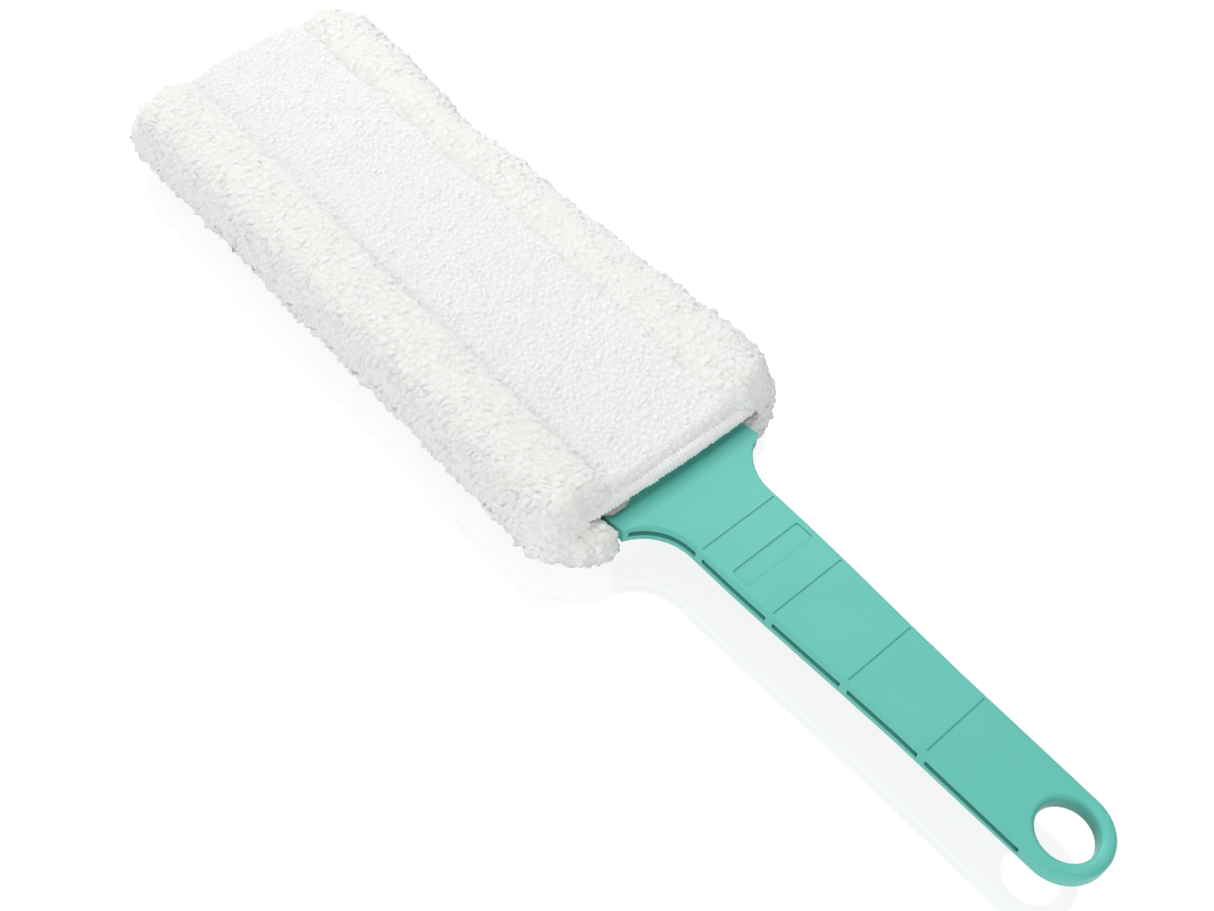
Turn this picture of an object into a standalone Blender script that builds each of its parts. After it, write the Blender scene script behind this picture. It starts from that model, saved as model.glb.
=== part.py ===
"""A radiator duster: a moulded handle with a flat blade, and a microfibre sleeve that pulls off the blade.

Metres, +Z up. +X runs along the handle to its hang ring and -X to the sleeve's tip. The origin is
under the middle of the whole length, on the surface that the sleeve's underside rests on.
"""

import math

import bmesh
import bpy
from mathutils import Matrix, Vector

# Clearances
CLOTH_GAP = 0.0003  # between sewn pieces that touch
BLADE_GAP = 0.0003  # under the blade, where it lies on its pocket
BLADE_HEADROOM = 0.0005  # over the blade and beside it
CUT_OVERRUN = 0.002  # how far a cutter stands out of what it cuts

# Grip
RIB_COUNT = 4
RIB_PITCH = 0.042
RIB_WIDTH = 0.0041
HANDLE_THICKNESS = 0.0105
GRIP_HALF_WIDTH = 0.0238  # at the first rib
TAPER_LENGTH = 0.140
EDGE_ROUND = 0.0009
SLOT_HEIGHT = 0.0033
SLOT_DEPTH = 0.009
RIB_LINE_WIDTH = 0.0008
RIB_LINE_DEPTH = 0.0003
RIB_LINE_MARGIN = 0.0018
NAMEPLATE_LENGTH = 0.010
NAMEPLATE_MARGIN = 0.0033  # from its ends to the grip's edges
NAMEPLATE_DEPTH = 0.0004
NAMEPLATE_CORNER = 0.0012

# Hang ring
RING_REACH = 0.0584  # from the last rib to the ring's centre
RING_RADIUS = 0.0197
RING_BAND = 0.0067  # from the hang hole to the ring's outside
RIM_ROUND = 0.0022
HOLE_LEAD_IN = 0.0026
RING_SLOT_MARGIN = 0.0078  # from the end of the last slot to the ring's centre
RING_SLOT_WALL = 0.0025  # the least wall between the last slot and the hang hole

# Neck and blade
FLARE_SETBACK = 0.00195  # from the first rib's side to where the neck starts to widen
FLARE_RADIUS = 0.0265
NECK_LENGTH = 0.026  # from the first rib to where the faces slope down to the blade
SLOPE_LENGTH = 0.014
NECK_SLOT_TIP_DEPTH = 0.0025
BLADE_LENGTH = 0.337
BLADE_HALF_WIDTH = 0.042
BLADE_THICKNESS = 0.003
BLADE_CORNER = 0.015

# Sleeve
HEM_SETBACK = 0.0012  # from the start of the blade to the middle of the upper hem
TIP_MARGIN = 0.0141  # from the pocket's end to the sleeve's tip
LOWER_HALF_HEIGHT = 0.0206
UPPER_HALF_HEIGHT = 0.0202
CREASE_INSET = 0.0049  # from the blade's side in to the crease over it
ROLL_CENTRE_OFFSET = 0.0108  # from the crease out to the roll's middle
ROLL_HALF_WIDTH = 0.0269
ROLL_POWER = 2.3
CREASE_WIDTH = 0.0014
CREASE_DEPTH = 0.0035
CREASE_REACH = 0.005
PANEL_EDGE_RISE = 0.0158  # the centre cloth's height over the seam plane, beside the creases
PANEL_HOLLOW = 0.0022
FAR_ARCH = 0.006
TIP_CORNER = 0.024
TIP_ROUND = 0.012
MOUTH_ROUND = 0.007
MOUTH_CORNER = 0.008
MOUTH_CORNER_WIDTH = 0.0148
LOWER_MOUTH_REACH = 0.0045  # how far the underside stands out past the upper layer

# Pocket, hems and seams
LINING_THICKNESS = 0.0012
LINING_MOUTH_SETBACK = 0.003  # from the start of the blade to the pocket's mouth
POCKET_END_GAP = 0.0012
KNEE_STEP = 0.0006  # over which the upper layer steps down past the pocket
UPPER_HEM_HALF_DEPTH = 0.004
UPPER_HEM_HALF_HEIGHT = 0.0026
UPPER_HEM_OVERHANG = 0.010  # past the blade's sides
UPPER_HEM_CLEARANCE = 0.0032  # over the blade
HEM_BOW = 0.0026
LOWER_HEM_HALF_DEPTH = 0.0028
LOWER_HEM_HALF_HEIGHT = 0.0022
LOWER_HEM_OVERHANG = 0.002
LOWER_HEM_CLEARANCE = 0.0025  # under the blade
EDGE_SEAM_INSET = 0.001
EDGE_SEAM_WIDTH = 0.006
EDGE_SEAM_THICKNESS = 0.0008
THREAD_RADIUS = 0.0004

# Heights, from the surface under the sleeve to the handle and the pocket that holds it
SEAM_Z = LOWER_HALF_HEIGHT
LAYER_GAP = EDGE_SEAM_THICKNESS / 2 + CLOTH_GAP
LOWER_LAYER_TOP = SEAM_Z - LAYER_GAP
UPPER_LAYER_BOTTOM = SEAM_Z + LAYER_GAP
LINING_BOTTOM = LOWER_LAYER_TOP + CLOTH_GAP
BLADE_BOTTOM = LINING_BOTTOM + LINING_THICKNESS + BLADE_GAP
BLADE_TOP = BLADE_BOTTOM + BLADE_THICKNESS
HANDLE_MID_Z = (BLADE_BOTTOM + BLADE_TOP) / 2
HANDLE_TOP = HANDLE_MID_Z + HANDLE_THICKNESS / 2
LINING_TOP = BLADE_TOP + BLADE_HEADROOM + LINING_THICKNESS
UPPER_HEM_Z = BLADE_TOP + UPPER_HEM_CLEARANCE + UPPER_HEM_HALF_HEIGHT
LOWER_HEM_Z = BLADE_BOTTOM - LOWER_HEM_CLEARANCE - LOWER_HEM_HALF_HEIGHT

# Widths
HANG_HOLE_RADIUS = RING_RADIUS - RING_BAND
CREASE_Y = BLADE_HALF_WIDTH - CREASE_INSET
ROLL_CENTRE_Y = CREASE_Y + ROLL_CENTRE_OFFSET
SLEEVE_HALF_WIDTH = ROLL_CENTRE_Y + ROLL_HALF_WIDTH
MOUTH_CORNER_START = SLEEVE_HALF_WIDTH - MOUTH_CORNER_WIDTH
UPPER_HEM_HALF_LENGTH = BLADE_HALF_WIDTH + UPPER_HEM_OVERHANG
LOWER_HEM_HALF_LENGTH = BLADE_HALF_WIDTH + LOWER_HEM_OVERHANG
LINING_HALF_WIDTH = BLADE_HALF_WIDTH + BLADE_HEADROOM + LINING_THICKNESS
POCKET_SIDE_Y = LINING_HALF_WIDTH + CLOTH_GAP

# Places along X
POCKET_REACH = BLADE_LENGTH + BLADE_HEADROOM + LINING_THICKNESS + POCKET_END_GAP
TIP_REACH = NECK_LENGTH + SLOPE_LENGTH + POCKET_REACH + TIP_MARGIN
RING_CENTRE_REACH = (RIB_COUNT - 1) * RIB_PITCH + RING_REACH
FIRST_RIB_X = (TIP_REACH - RING_CENTRE_REACH - RING_RADIUS) / 2
RING_X = FIRST_RIB_X + RING_CENTRE_REACH
FLARE_X = FIRST_RIB_X - RIB_WIDTH / 2 - FLARE_SETBACK
SLOPE_X = FIRST_RIB_X - NECK_LENGTH
BLADE_START_X = SLOPE_X - SLOPE_LENGTH
BLADE_TIP_X = BLADE_START_X - BLADE_LENGTH
HEM_X = BLADE_START_X - HEM_SETBACK
UPPER_MOUTH_X = HEM_X - UPPER_HEM_HALF_DEPTH - CLOTH_GAP
LINING_MOUTH_X = BLADE_START_X - LINING_MOUTH_SETBACK
LINING_TIP_X = BLADE_TIP_X - BLADE_HEADROOM - LINING_THICKNESS
POCKET_END_X = BLADE_START_X - POCKET_REACH
TIP_X = POCKET_END_X - TIP_MARGIN

# How the neck's faces drop to the blade: (share of the slope's length, share of its drop)
SLOPE_SHARES = ((-0.3, -0.1), (0.0, 0.0), (0.3, 0.2), (0.6, 0.55), (0.85, 0.88), (1.0, 1.0))

# Where the lofts have their sections, as shares of the way
TAPER_SHARES = (0.0, 0.15, 0.3, 0.45, 0.6, 0.8)
FLARE_STEPS = 8
SLOT_STEPS = 3
CORNER_STEPS = 6
RING_STEPS = 12
ROUND_STEPS = 3
HOLE_STEPS = 40
LENGTH_STEPS = 6
HEM_STEPS = 14
HEM_SIDES = 10
THREAD_SIDES = 6
STRIP_INNER_SHARES = (0.0, 0.45, 1.0)  # from the crease to the pocket's side
STRIP_OUTER_SHARES = (0.0, 0.18, 0.4, 0.6, 0.76, 0.88, 0.95, 0.993)  # from there to the sleeve's side
LOWER_SHARES = (-0.995, -0.96, -0.88, -0.76, -0.62, -0.42, 0.0, 0.42, 0.62, 0.76, 0.88, 0.96, 0.995)
PANEL_SHARES = (-1.0, -0.8, -0.45, 0.0, 0.45, 0.8, 1.0)
NECK_SLOT_SHARE = 0.92  # of the flare
TIP_ROUND_SHARE = 0.93
MOUTH_ROUND_SHARE = 0.6
HEM_END_SHARE = 0.7

SHARP_ANGLE = math.radians(40)

COLOURS = {
    "handle": (0.13, 0.56, 0.45, 1.0),
    "pile": (0.86, 0.86, 0.84, 1.0),
    "panel": (0.80, 0.80, 0.79, 1.0),
    "lining": (0.55, 0.56, 0.55, 1.0),
    "thread": (0.88, 0.88, 0.86, 1.0),
}


def clear_scene():
    for thing in list(bpy.data.objects):
        bpy.data.objects.remove(thing, do_unlink=True)


def material(name, colour, roughness):
    made = bpy.data.materials.new(name)
    made.use_nodes = True
    shader = made.node_tree.nodes["Principled BSDF"]
    shader.inputs["Base Color"].default_value = colour
    shader.inputs["Roughness"].default_value = roughness
    shader.inputs["Metallic"].default_value = 0.0
    made.diffuse_color = colour
    return made


def add_object(name, points, faces):
    """An object whose closed mesh has its faces turned outwards."""
    mesh = bpy.data.meshes.new(name)
    mesh.from_pydata([tuple(point) for point in points], [], faces)
    shape = bmesh.new()
    shape.from_mesh(mesh)
    bmesh.ops.recalc_face_normals(shape, faces=shape.faces)
    shape.to_mesh(mesh)
    shape.free()
    made = bpy.data.objects.new(name, mesh)
    bpy.context.scene.collection.objects.link(made)
    return made


def finish(piece, made):
    piece.data.materials.append(made)
    piece.data.shade_smooth()
    piece.data.set_sharp_from_angle(angle=SHARP_ANGLE)
    return piece


def loft(rings):
    """Points and faces of a closed solid through rings of equal counts, with a cap at each end."""
    count = len(rings[0])
    points = [point for ring in rings for point in ring]
    faces = []
    for low in range(0, count * (len(rings) - 1), count):
        for i in range(count):
            j = (i + 1) % count
            faces.append((low + i, low + j, low + count + j, low + count + i))
    last = count * (len(rings) - 1)
    faces.append(tuple(range(count)))
    faces.append(tuple(last + i for i in range(count)))
    return points, faces


def merged(solids):
    """The points and faces of separate solids, as one list of each."""
    points = []
    faces = []
    for new_points, new_faces in solids:
        first = len(points)
        points.extend(new_points)
        faces.extend(tuple(first + i for i in face) for face in new_faces)
    return points, faces


def cutter(name, solids):
    made = add_object(name, *merged(solids))
    made.hide_render = True
    made.display_type = "WIRE"
    return made


def cut(piece, tool):
    change = piece.modifiers.new("cut_" + tool.name, "BOOLEAN")
    change.operation = "DIFFERENCE"
    change.solver = "EXACT"
    change.object = tool


def smooth_step(share):
    share = min(max(share, 0.0), 1.0)
    return share * share * (3 - 2 * share)


def grip_half_width(x):
    """The grip narrows smoothly from its first rib to the ring's own radius."""
    narrowed = smooth_step((x - FIRST_RIB_X) / TAPER_LENGTH)
    return GRIP_HALF_WIDTH + (RING_RADIUS - GRIP_HALF_WIDTH) * narrowed


def flare_outline(share, steps):
    """A share of the concave flare from the grip out to the blade's width, as (point, outward normal)."""
    centre = Vector((FLARE_X, GRIP_HALF_WIDTH + FLARE_RADIUS))
    end_angle = math.acos(1 - (BLADE_HALF_WIDTH - GRIP_HALF_WIDTH) / FLARE_RADIUS)
    outline = []
    for step in range(steps + 1):
        angle = end_angle * share * step / steps
        outward = Vector((math.sin(angle), math.cos(angle)))
        outline.append((centre - outward * FLARE_RADIUS, outward))
    return outline


def half_outline():
    """One side of the handle from the ring's end to the blade's tip, as (point, outward normal)."""
    outline = []
    for step in range(RING_STEPS + 1):
        angle = math.pi / 2 * step / RING_STEPS
        outward = Vector((math.cos(angle), math.sin(angle)))
        outline.append((Vector((RING_X, 0)) + outward * RING_RADIUS, outward))
    sideways = Vector((0, 1))
    for share in reversed(TAPER_SHARES):
        x = FIRST_RIB_X + TAPER_LENGTH * share
        outline.append((Vector((x, grip_half_width(x))), sideways))
    outline.extend(flare_outline(1, FLARE_STEPS))
    corner = Vector((BLADE_TIP_X + BLADE_CORNER, BLADE_HALF_WIDTH - BLADE_CORNER))
    for step in range(CORNER_STEPS + 1):
        angle = math.pi / 2 * (1 + step / CORNER_STEPS)
        outward = Vector((math.cos(angle), math.sin(angle)))
        outline.append((corner + outward * BLADE_CORNER, outward))
    return outline


def full_outline():
    side = half_outline()
    mirrored = [(Vector((p.x, -p.y)), Vector((n.x, -n.y))) for p, n in reversed(side[1:])]
    return side + mirrored


def edge_round(x):
    """The rounding of the upper and lower edges, which widens to the ring's rim."""
    widened = smooth_step((x - RING_X) / RING_RADIUS + 1)
    return EDGE_ROUND + (RIM_ROUND - EDGE_ROUND) * widened


def handle_block():
    """The handle's outline at full thickness, with rounded edges."""
    outline = full_outline()
    angles = [math.pi / 2 * step / ROUND_STEPS for step in range(ROUND_STEPS + 1)]
    levels = [(-1, angle) for angle in reversed(angles)] + [(1, angle) for angle in angles]
    rings = []
    for side, angle in levels:
        ring = []
        for place, outward in outline:
            radius = edge_round(place.x)
            spot = place - outward * radius * (1 - math.cos(angle))
            drop = radius * (1 - math.sin(angle))
            z = HANDLE_MID_Z + side * (HANDLE_THICKNESS / 2 - drop)
            ring.append((spot.x, spot.y, z))
        rings.append(ring)
    return loft(rings)


def prism(outline, low, high):
    """A solid between two heights over an outline of (x, y) points."""
    return loft([[(x, y, z) for x, y in outline] for z in (low, high)])


def hole_cutter():
    """The hang hole with its rounded lead-in at both faces."""
    profile = []
    for side in (-1, 1):
        arc = []
        for step in range(ROUND_STEPS + 1):
            angle = math.pi / 2 * step / ROUND_STEPS
            radius = HANG_HOLE_RADIUS + HOLE_LEAD_IN * (1 - math.cos(angle))
            rise = HANDLE_THICKNESS / 2 - HOLE_LEAD_IN * (1 - math.sin(angle))
            arc.append((radius, HANDLE_MID_Z + side * rise))
        outer = HANDLE_MID_Z + side * (HANDLE_THICKNESS / 2 + CUT_OVERRUN)
        arc.append((HANG_HOLE_RADIUS + HOLE_LEAD_IN, outer))
        profile.extend(reversed(arc) if side < 0 else arc)
    rings = []
    for radius, z in profile:
        angles = [math.tau * step / HOLE_STEPS for step in range(HOLE_STEPS)]
        rings.append([(RING_X + radius * math.cos(a), radius * math.sin(a), z) for a in angles])
    return loft(rings)


def slot_cutter(stretch, depths):
    """A side slot along a stretch of (point, normal), as deep at each point as depths say."""
    outer = [place + outward * CUT_OVERRUN for place, outward in stretch]
    inner = [place - outward * depth for (place, outward), depth in zip(stretch, depths)]
    outline = [(p.x, p.y) for p in outer + inner[::-1]]
    low = HANDLE_MID_Z - SLOT_HEIGHT / 2
    high = HANDLE_MID_Z + SLOT_HEIGHT / 2
    return [
        prism(outline, low, high),
        prism([(x, -y) for x, y in outline], low, high),
    ]


def grip_slot_ends():
    """(start, end) along X of each slot between two ribs, and of the last one, which ends at the ring."""
    ends = []
    for rib in range(RIB_COUNT):
        start = FIRST_RIB_X + rib * RIB_PITCH + RIB_WIDTH / 2
        next_rib = start + RIB_PITCH - RIB_WIDTH
        ends.append((start, next_rib if rib < RIB_COUNT - 1 else RING_X - RING_SLOT_MARGIN))
    return ends


def grip_slot_depth(x):
    """A grip slot's depth, with a wall left beside the hang hole."""
    hole_side = math.sqrt(max(HANG_HOLE_RADIUS**2 - (x - RING_X) ** 2, 0.0))
    return min(SLOT_DEPTH, grip_half_width(x) - hole_side - RING_SLOT_WALL)


def slot_cutters():
    solids = []
    for start, end in grip_slot_ends():
        places = [start + (end - start) * step / SLOT_STEPS for step in range(SLOT_STEPS + 1)]
        stretch = [(Vector((x, grip_half_width(x))), Vector((0, 1))) for x in places]
        solids.extend(slot_cutter(stretch, [grip_slot_depth(x) for x in places]))
    start = Vector((FIRST_RIB_X - RIB_WIDTH / 2, GRIP_HALF_WIDTH))
    stretch = [(start, Vector((0, 1)))] + flare_outline(NECK_SLOT_SHARE, FLARE_STEPS)
    last = len(stretch) - 1
    depths = [SLOT_DEPTH + (NECK_SLOT_TIP_DEPTH - SLOT_DEPTH) * i / last for i in range(last + 1)]
    solids.extend(slot_cutter(stretch, depths))
    return solids


def slope_cutter(side):
    """What is taken off one face of the neck and blade, over or under them."""
    face = HANDLE_THICKNESS / 2
    drop = face - BLADE_THICKNESS / 2
    profile = [(SLOPE_X - SLOPE_LENGTH * run, face - drop * fall) for run, fall in SLOPE_SHARES]
    far_x = BLADE_TIP_X - CUT_OVERRUN
    profile.append((far_x, BLADE_THICKNESS / 2))
    profile.append((far_x, face + CUT_OVERRUN))
    profile.append((profile[0][0], face + CUT_OVERRUN))
    reach = BLADE_HALF_WIDTH + CUT_OVERRUN
    return loft([[(x, y, HANDLE_MID_Z + side * z) for x, z in profile] for y in (-reach, reach)])


def rounded_rectangle(x, length, width, corner):
    outline = []
    for turn, (way_x, way_y) in enumerate(((1, 1), (-1, 1), (-1, -1), (1, -1))):
        centre = (x + way_x * (length / 2 - corner), way_y * (width / 2 - corner))
        for step in range(ROUND_STEPS + 1):
            angle = math.pi / 2 * (turn + step / ROUND_STEPS)
            outline.append((centre[0] + corner * math.cos(angle), centre[1] + corner * math.sin(angle)))
    return outline


def recess_cutters():
    """The bare nameplate recess and the fine lines that cross the grip over its ribs."""
    solids = []
    plate_x = FIRST_RIB_X + RIB_PITCH / 2
    plate_width = 2 * (grip_half_width(plate_x) - NAMEPLATE_MARGIN)
    plate = rounded_rectangle(plate_x, NAMEPLATE_LENGTH, plate_width, NAMEPLATE_CORNER)
    solids.append(prism(plate, HANDLE_TOP - NAMEPLATE_DEPTH, HANDLE_TOP + CUT_OVERRUN))
    for rib in range(RIB_COUNT):
        x = FIRST_RIB_X + rib * RIB_PITCH
        reach = grip_half_width(x) - RIB_LINE_MARGIN
        edge = RIB_LINE_WIDTH / 2
        line = [(x - edge, -reach), (x + edge, -reach), (x + edge, reach), (x - edge, reach)]
        solids.append(prism(line, HANDLE_TOP - RIB_LINE_DEPTH, HANDLE_TOP + CUT_OVERRUN))
    return solids


def make_handle():
    handle = add_object("handle", *handle_block())
    cut(handle, cutter("slopes", [slope_cutter(1), slope_cutter(-1)]))
    cut(handle, cutter("side_slots", slot_cutters()))
    cut(handle, cutter("hang_hole", [hole_cutter()]))
    cut(handle, cutter("top_recesses", recess_cutters()))
    return finish(handle, material("handle_plastic", COLOURS["handle"], 0.32))


def mouth_x(y):
    """The upper layer's edge at the mouth, bowed out over the neck and drawn back at the corners."""
    corner = max(abs(y) - MOUTH_CORNER_START, 0.0) / (SLEEVE_HALF_WIDTH - MOUTH_CORNER_START)
    bow = HEM_BOW * (y / UPPER_HEM_HALF_LENGTH) ** 2
    return UPPER_MOUTH_X - bow - MOUTH_CORNER * corner**3


def lower_mouth_x(y):
    return mouth_x(y) + LOWER_MOUTH_REACH


def tip_x(y):
    """The far edge, arched across the centre cloth and rounded off at the rolls."""
    arch = FAR_ARCH * min(abs(y) / ROLL_CENTRE_Y, 1.0) ** 2
    side = min(max(abs(y) - ROLL_CENTRE_Y, 0.0) / ROLL_HALF_WIDTH, 1.0)
    return TIP_X + arch + TIP_CORNER * (1 - math.sqrt(1 - side * side))


def end_round(x, mouth, tip):
    """The share of its height that the sleeve keeps near its ends."""
    at_tip = min(max(1 - (x - tip) / TIP_ROUND, 0.0), 1.0) * TIP_ROUND_SHARE
    at_mouth = min(max(1 - (mouth - x) / MOUTH_ROUND, 0.0), 1.0) * MOUTH_ROUND_SHARE
    return math.sqrt(1 - at_tip * at_tip) * math.sqrt(1 - at_mouth * at_mouth)


def roll_share(y):
    """The rolls' rounded section: 1 over their middle and 0 at the sleeve's sides."""
    side = min(abs(abs(y) - ROLL_CENTRE_Y) / ROLL_HALF_WIDTH, 1.0)
    return (1 - side**ROLL_POWER) ** (1 / ROLL_POWER)


def strip_top(x, y):
    away = min((abs(y) - CREASE_Y) / CREASE_REACH, 1.0)
    rise = UPPER_HALF_HEIGHT * roll_share(y) - CREASE_DEPTH * (1 - away) ** 2
    return SEAM_Z + rise * end_round(x, mouth_x(y), tip_x(y))


def panel_top(x, y):
    rise = PANEL_EDGE_RISE - PANEL_HOLLOW * (1 - (y / CREASE_Y) ** 2)
    return SEAM_Z + rise * end_round(x, mouth_x(y), tip_x(y))


def upper_bottom(x, y):
    """The upper layer lies on the pocket, and past it on the sewn edges."""
    over_pocket = abs(y) < POCKET_SIDE_Y + KNEE_STEP / 2 and x > POCKET_END_X + KNEE_STEP / 2
    return LINING_TOP + CLOTH_GAP if over_pocket else UPPER_LAYER_BOTTOM


def lower_bottom(x, y):
    share = roll_share(y) if abs(y) > ROLL_CENTRE_Y else 1.0
    return SEAM_Z - LOWER_HALF_HEIGHT * share * end_round(x, lower_mouth_x(y), tip_x(y))


def lower_top(x, y):
    return LOWER_LAYER_TOP


def pocket_knee_x(y):
    """Where a layer steps down past the pocket's end, or rounds off towards the tip beside it."""
    beside = abs(y) > POCKET_SIDE_Y + KNEE_STEP / 2
    return tip_x(y) + TIP_ROUND if beside else POCKET_END_X


def stations(y, mouth):
    """Places along X at y, from the mouth to the tip and closer together at the ends and the knee."""
    knee = pocket_knee_x(y)
    tip = tip_x(y)
    start = mouth - MOUTH_ROUND
    span = start - knee - KNEE_STEP
    places = [mouth - MOUTH_ROUND * step / ROUND_STEPS for step in range(ROUND_STEPS)]
    places += [start - span * step / LENGTH_STEPS for step in range(LENGTH_STEPS + 1)]
    for step in range(CORNER_STEPS + 1):
        places.append(tip + (knee - tip) * (1 - math.sin(math.pi / 2 * step / CORNER_STEPS)))
    return places


def layer(name, breadths, mouth, top, bottom):
    """A sewn cloth with its loft: a closed solid between two heights, from the mouth to the tip."""
    rings = []
    for y in breadths:
        line = stations(y, mouth(y))
        over = [(x, y, top(x, y)) for x in line]
        under = [(x, y, bottom(x, y)) for x in reversed(line)]
        rings.append(over + under)
    return add_object(name, *loft(rings))


def make_top_panel():
    reach = CREASE_Y - CREASE_WIDTH / 2
    breadths = [reach * share for share in PANEL_SHARES]
    return layer("top_panel", breadths, mouth_x, panel_top, upper_bottom)


def make_strip(name, side):
    start = CREASE_Y + CREASE_WIDTH / 2
    beside = POCKET_SIDE_Y + KNEE_STEP
    outside = SLEEVE_HALF_WIDTH - beside
    breadths = [side * (start + (POCKET_SIDE_Y - start) * share) for share in STRIP_INNER_SHARES]
    breadths += [side * (beside + outside * share) for share in STRIP_OUTER_SHARES]
    return layer(name, breadths, mouth_x, strip_top, upper_bottom)


def make_bottom_panel():
    breadths = [SLEEVE_HALF_WIDTH * share for share in LOWER_SHARES]
    return layer("bottom_pile_panel", breadths, lower_mouth_x, lower_top, lower_bottom)


def cuboid_ring(x, half_width, low, high):
    return [(x, -half_width, low), (x, half_width, low), (x, half_width, high), (x, -half_width, high)]


def make_lining():
    """A flat pocket, open at the mouth: its outside to the tip, then back along its inside."""
    inner = (
        LINING_HALF_WIDTH - LINING_THICKNESS,
        LINING_BOTTOM + LINING_THICKNESS,
        LINING_TOP - LINING_THICKNESS,
    )
    rings = [
        cuboid_ring(LINING_TIP_X, LINING_HALF_WIDTH, LINING_BOTTOM, LINING_TOP),
        cuboid_ring(LINING_MOUTH_X, LINING_HALF_WIDTH, LINING_BOTTOM, LINING_TOP),
        cuboid_ring(LINING_MOUTH_X, *inner),
        cuboid_ring(LINING_TIP_X + LINING_THICKNESS, *inner),
    ]
    return add_object("pocket_lining", *loft(rings))


def make_hem(name, middle_x, z, half_length, half_depth, half_height):
    """An overlocked edge: an oval cord across the mouth that follows its bow."""
    rings = []
    for step in range(HEM_STEPS + 1):
        y = half_length * (2 * step / HEM_STEPS - 1)
        x = middle_x - HEM_BOW * (y / UPPER_HEM_HALF_LENGTH) ** 2
        scale = HEM_END_SHARE if step in (0, HEM_STEPS) else 1.0
        ring = []
        for side in range(HEM_SIDES):
            angle = math.tau * side / HEM_SIDES
            out = scale * half_depth * math.cos(angle)
            up = scale * half_height * math.sin(angle)
            ring.append((x + out, y, z + up))
        rings.append(ring)
    return add_object(name, *loft(rings))


def make_upper_hem():
    return make_hem(
        "upper_mouth_hem",
        HEM_X,
        UPPER_HEM_Z,
        UPPER_HEM_HALF_LENGTH,
        UPPER_HEM_HALF_DEPTH,
        UPPER_HEM_HALF_HEIGHT,
    )


def make_lower_hem():
    return make_hem(
        "lower_mouth_hem",
        lower_mouth_x(0) + CLOTH_GAP + LOWER_HEM_HALF_DEPTH,
        LOWER_HEM_Z,
        LOWER_HEM_HALF_LENGTH,
        LOWER_HEM_HALF_DEPTH,
        LOWER_HEM_HALF_HEIGHT,
    )


def edge_seam_path():
    """The middle line of the sewn edges: along one side, round the tip and back along the other."""
    inset = EDGE_SEAM_INSET + EDGE_SEAM_WIDTH / 2
    side_y = SLEEVE_HALF_WIDTH - inset
    corner_x = TIP_X + FAR_ARCH + TIP_CORNER
    path = [Vector((mouth_x(side_y) - inset, side_y))]
    for step in range(CORNER_STEPS + 1):
        angle = math.pi / 2 * step / CORNER_STEPS
        x = corner_x - (TIP_CORNER - inset) * math.sin(angle)
        path.append(Vector((x, ROLL_CENTRE_Y + (ROLL_HALF_WIDTH - inset) * math.cos(angle))))
    for step in range(1, CORNER_STEPS):
        y = ROLL_CENTRE_Y * (1 - step / CORNER_STEPS)
        path.append(Vector((tip_x(y) + inset, y)))
    middle = [Vector((tip_x(0) + inset, 0))]
    return path + middle + [Vector((p.x, -p.y)) for p in reversed(path)]


def make_edge_seam():
    path = edge_seam_path()
    low = SEAM_Z - EDGE_SEAM_THICKNESS / 2
    high = SEAM_Z + EDGE_SEAM_THICKNESS / 2
    rings = []
    for i, place in enumerate(path):
        along = (path[min(i + 1, len(path) - 1)] - path[max(i - 1, 0)]).normalized()
        across = Vector((-along.y, along.x)) * EDGE_SEAM_WIDTH / 2
        inner = tuple(place + across)
        outer = tuple(place - across)
        rings.append([(*inner, low), (*outer, low), (*outer, high), (*inner, high)])
    return add_object("edge_seam", *loft(rings))


def make_panel_seam(name, side):
    """The seam's thread, sunk in the crease between the centre cloth and a pile strip."""
    y = side * CREASE_Y
    edge_y = CREASE_Y - CREASE_WIDTH / 2
    rings = []
    for x in stations(y, mouth_x(y)):
        z = panel_top(x, edge_y) - 2 * THREAD_RADIUS
        ring = []
        for step in range(THREAD_SIDES):
            angle = math.tau * step / THREAD_SIDES
            ring.append((x, y + THREAD_RADIUS * math.cos(angle), z + THREAD_RADIUS * math.sin(angle)))
        rings.append(ring)
    return add_object(name, *loft(rings))


def make_sleeve():
    """The sleeve's pieces, carried by an empty on the line along which it is pulled off the blade."""
    slide_axis = bpy.data.objects.new("sleeve_slide_axis", None)
    slide_axis.location = (HEM_X, 0, HANDLE_MID_Z)
    bpy.context.scene.collection.objects.link(slide_axis)
    pile = material("long_pile_microfibre", COLOURS["pile"], 0.95)
    panel = material("short_pile_microfibre", COLOURS["panel"], 0.95)
    lining = material("lining_cloth", COLOURS["lining"], 0.9)
    thread = material("overlock_thread", COLOURS["thread"], 0.8)
    pieces = [
        finish(make_top_panel(), panel),
        finish(make_strip("left_pile_strip", -1), pile),
        finish(make_strip("right_pile_strip", 1), pile),
        finish(make_bottom_panel(), pile),
        finish(make_lining(), lining),
        finish(make_upper_hem(), thread),
        finish(make_lower_hem(), thread),
        finish(make_edge_seam(), thread),
        finish(make_panel_seam("left_panel_seam", -1), thread),
        finish(make_panel_seam("right_panel_seam", 1), thread),
    ]
    for piece in pieces:
        piece.parent = slide_axis
        piece.matrix_parent_inverse = Matrix.Translation(-slide_axis.location)


clear_scene()
make_handle()
make_sleeve()
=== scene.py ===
"""The looks of a radiator duster: a mint plastic handle and a white microfibre sleeve.

Metres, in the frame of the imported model: +X to the hang ring, -X to the sleeve's tip, +Z up from the floor.
"""
import collections
import itertools
import math

import bpy
import numpy as np
from mathutils import Matrix, Vector


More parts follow.
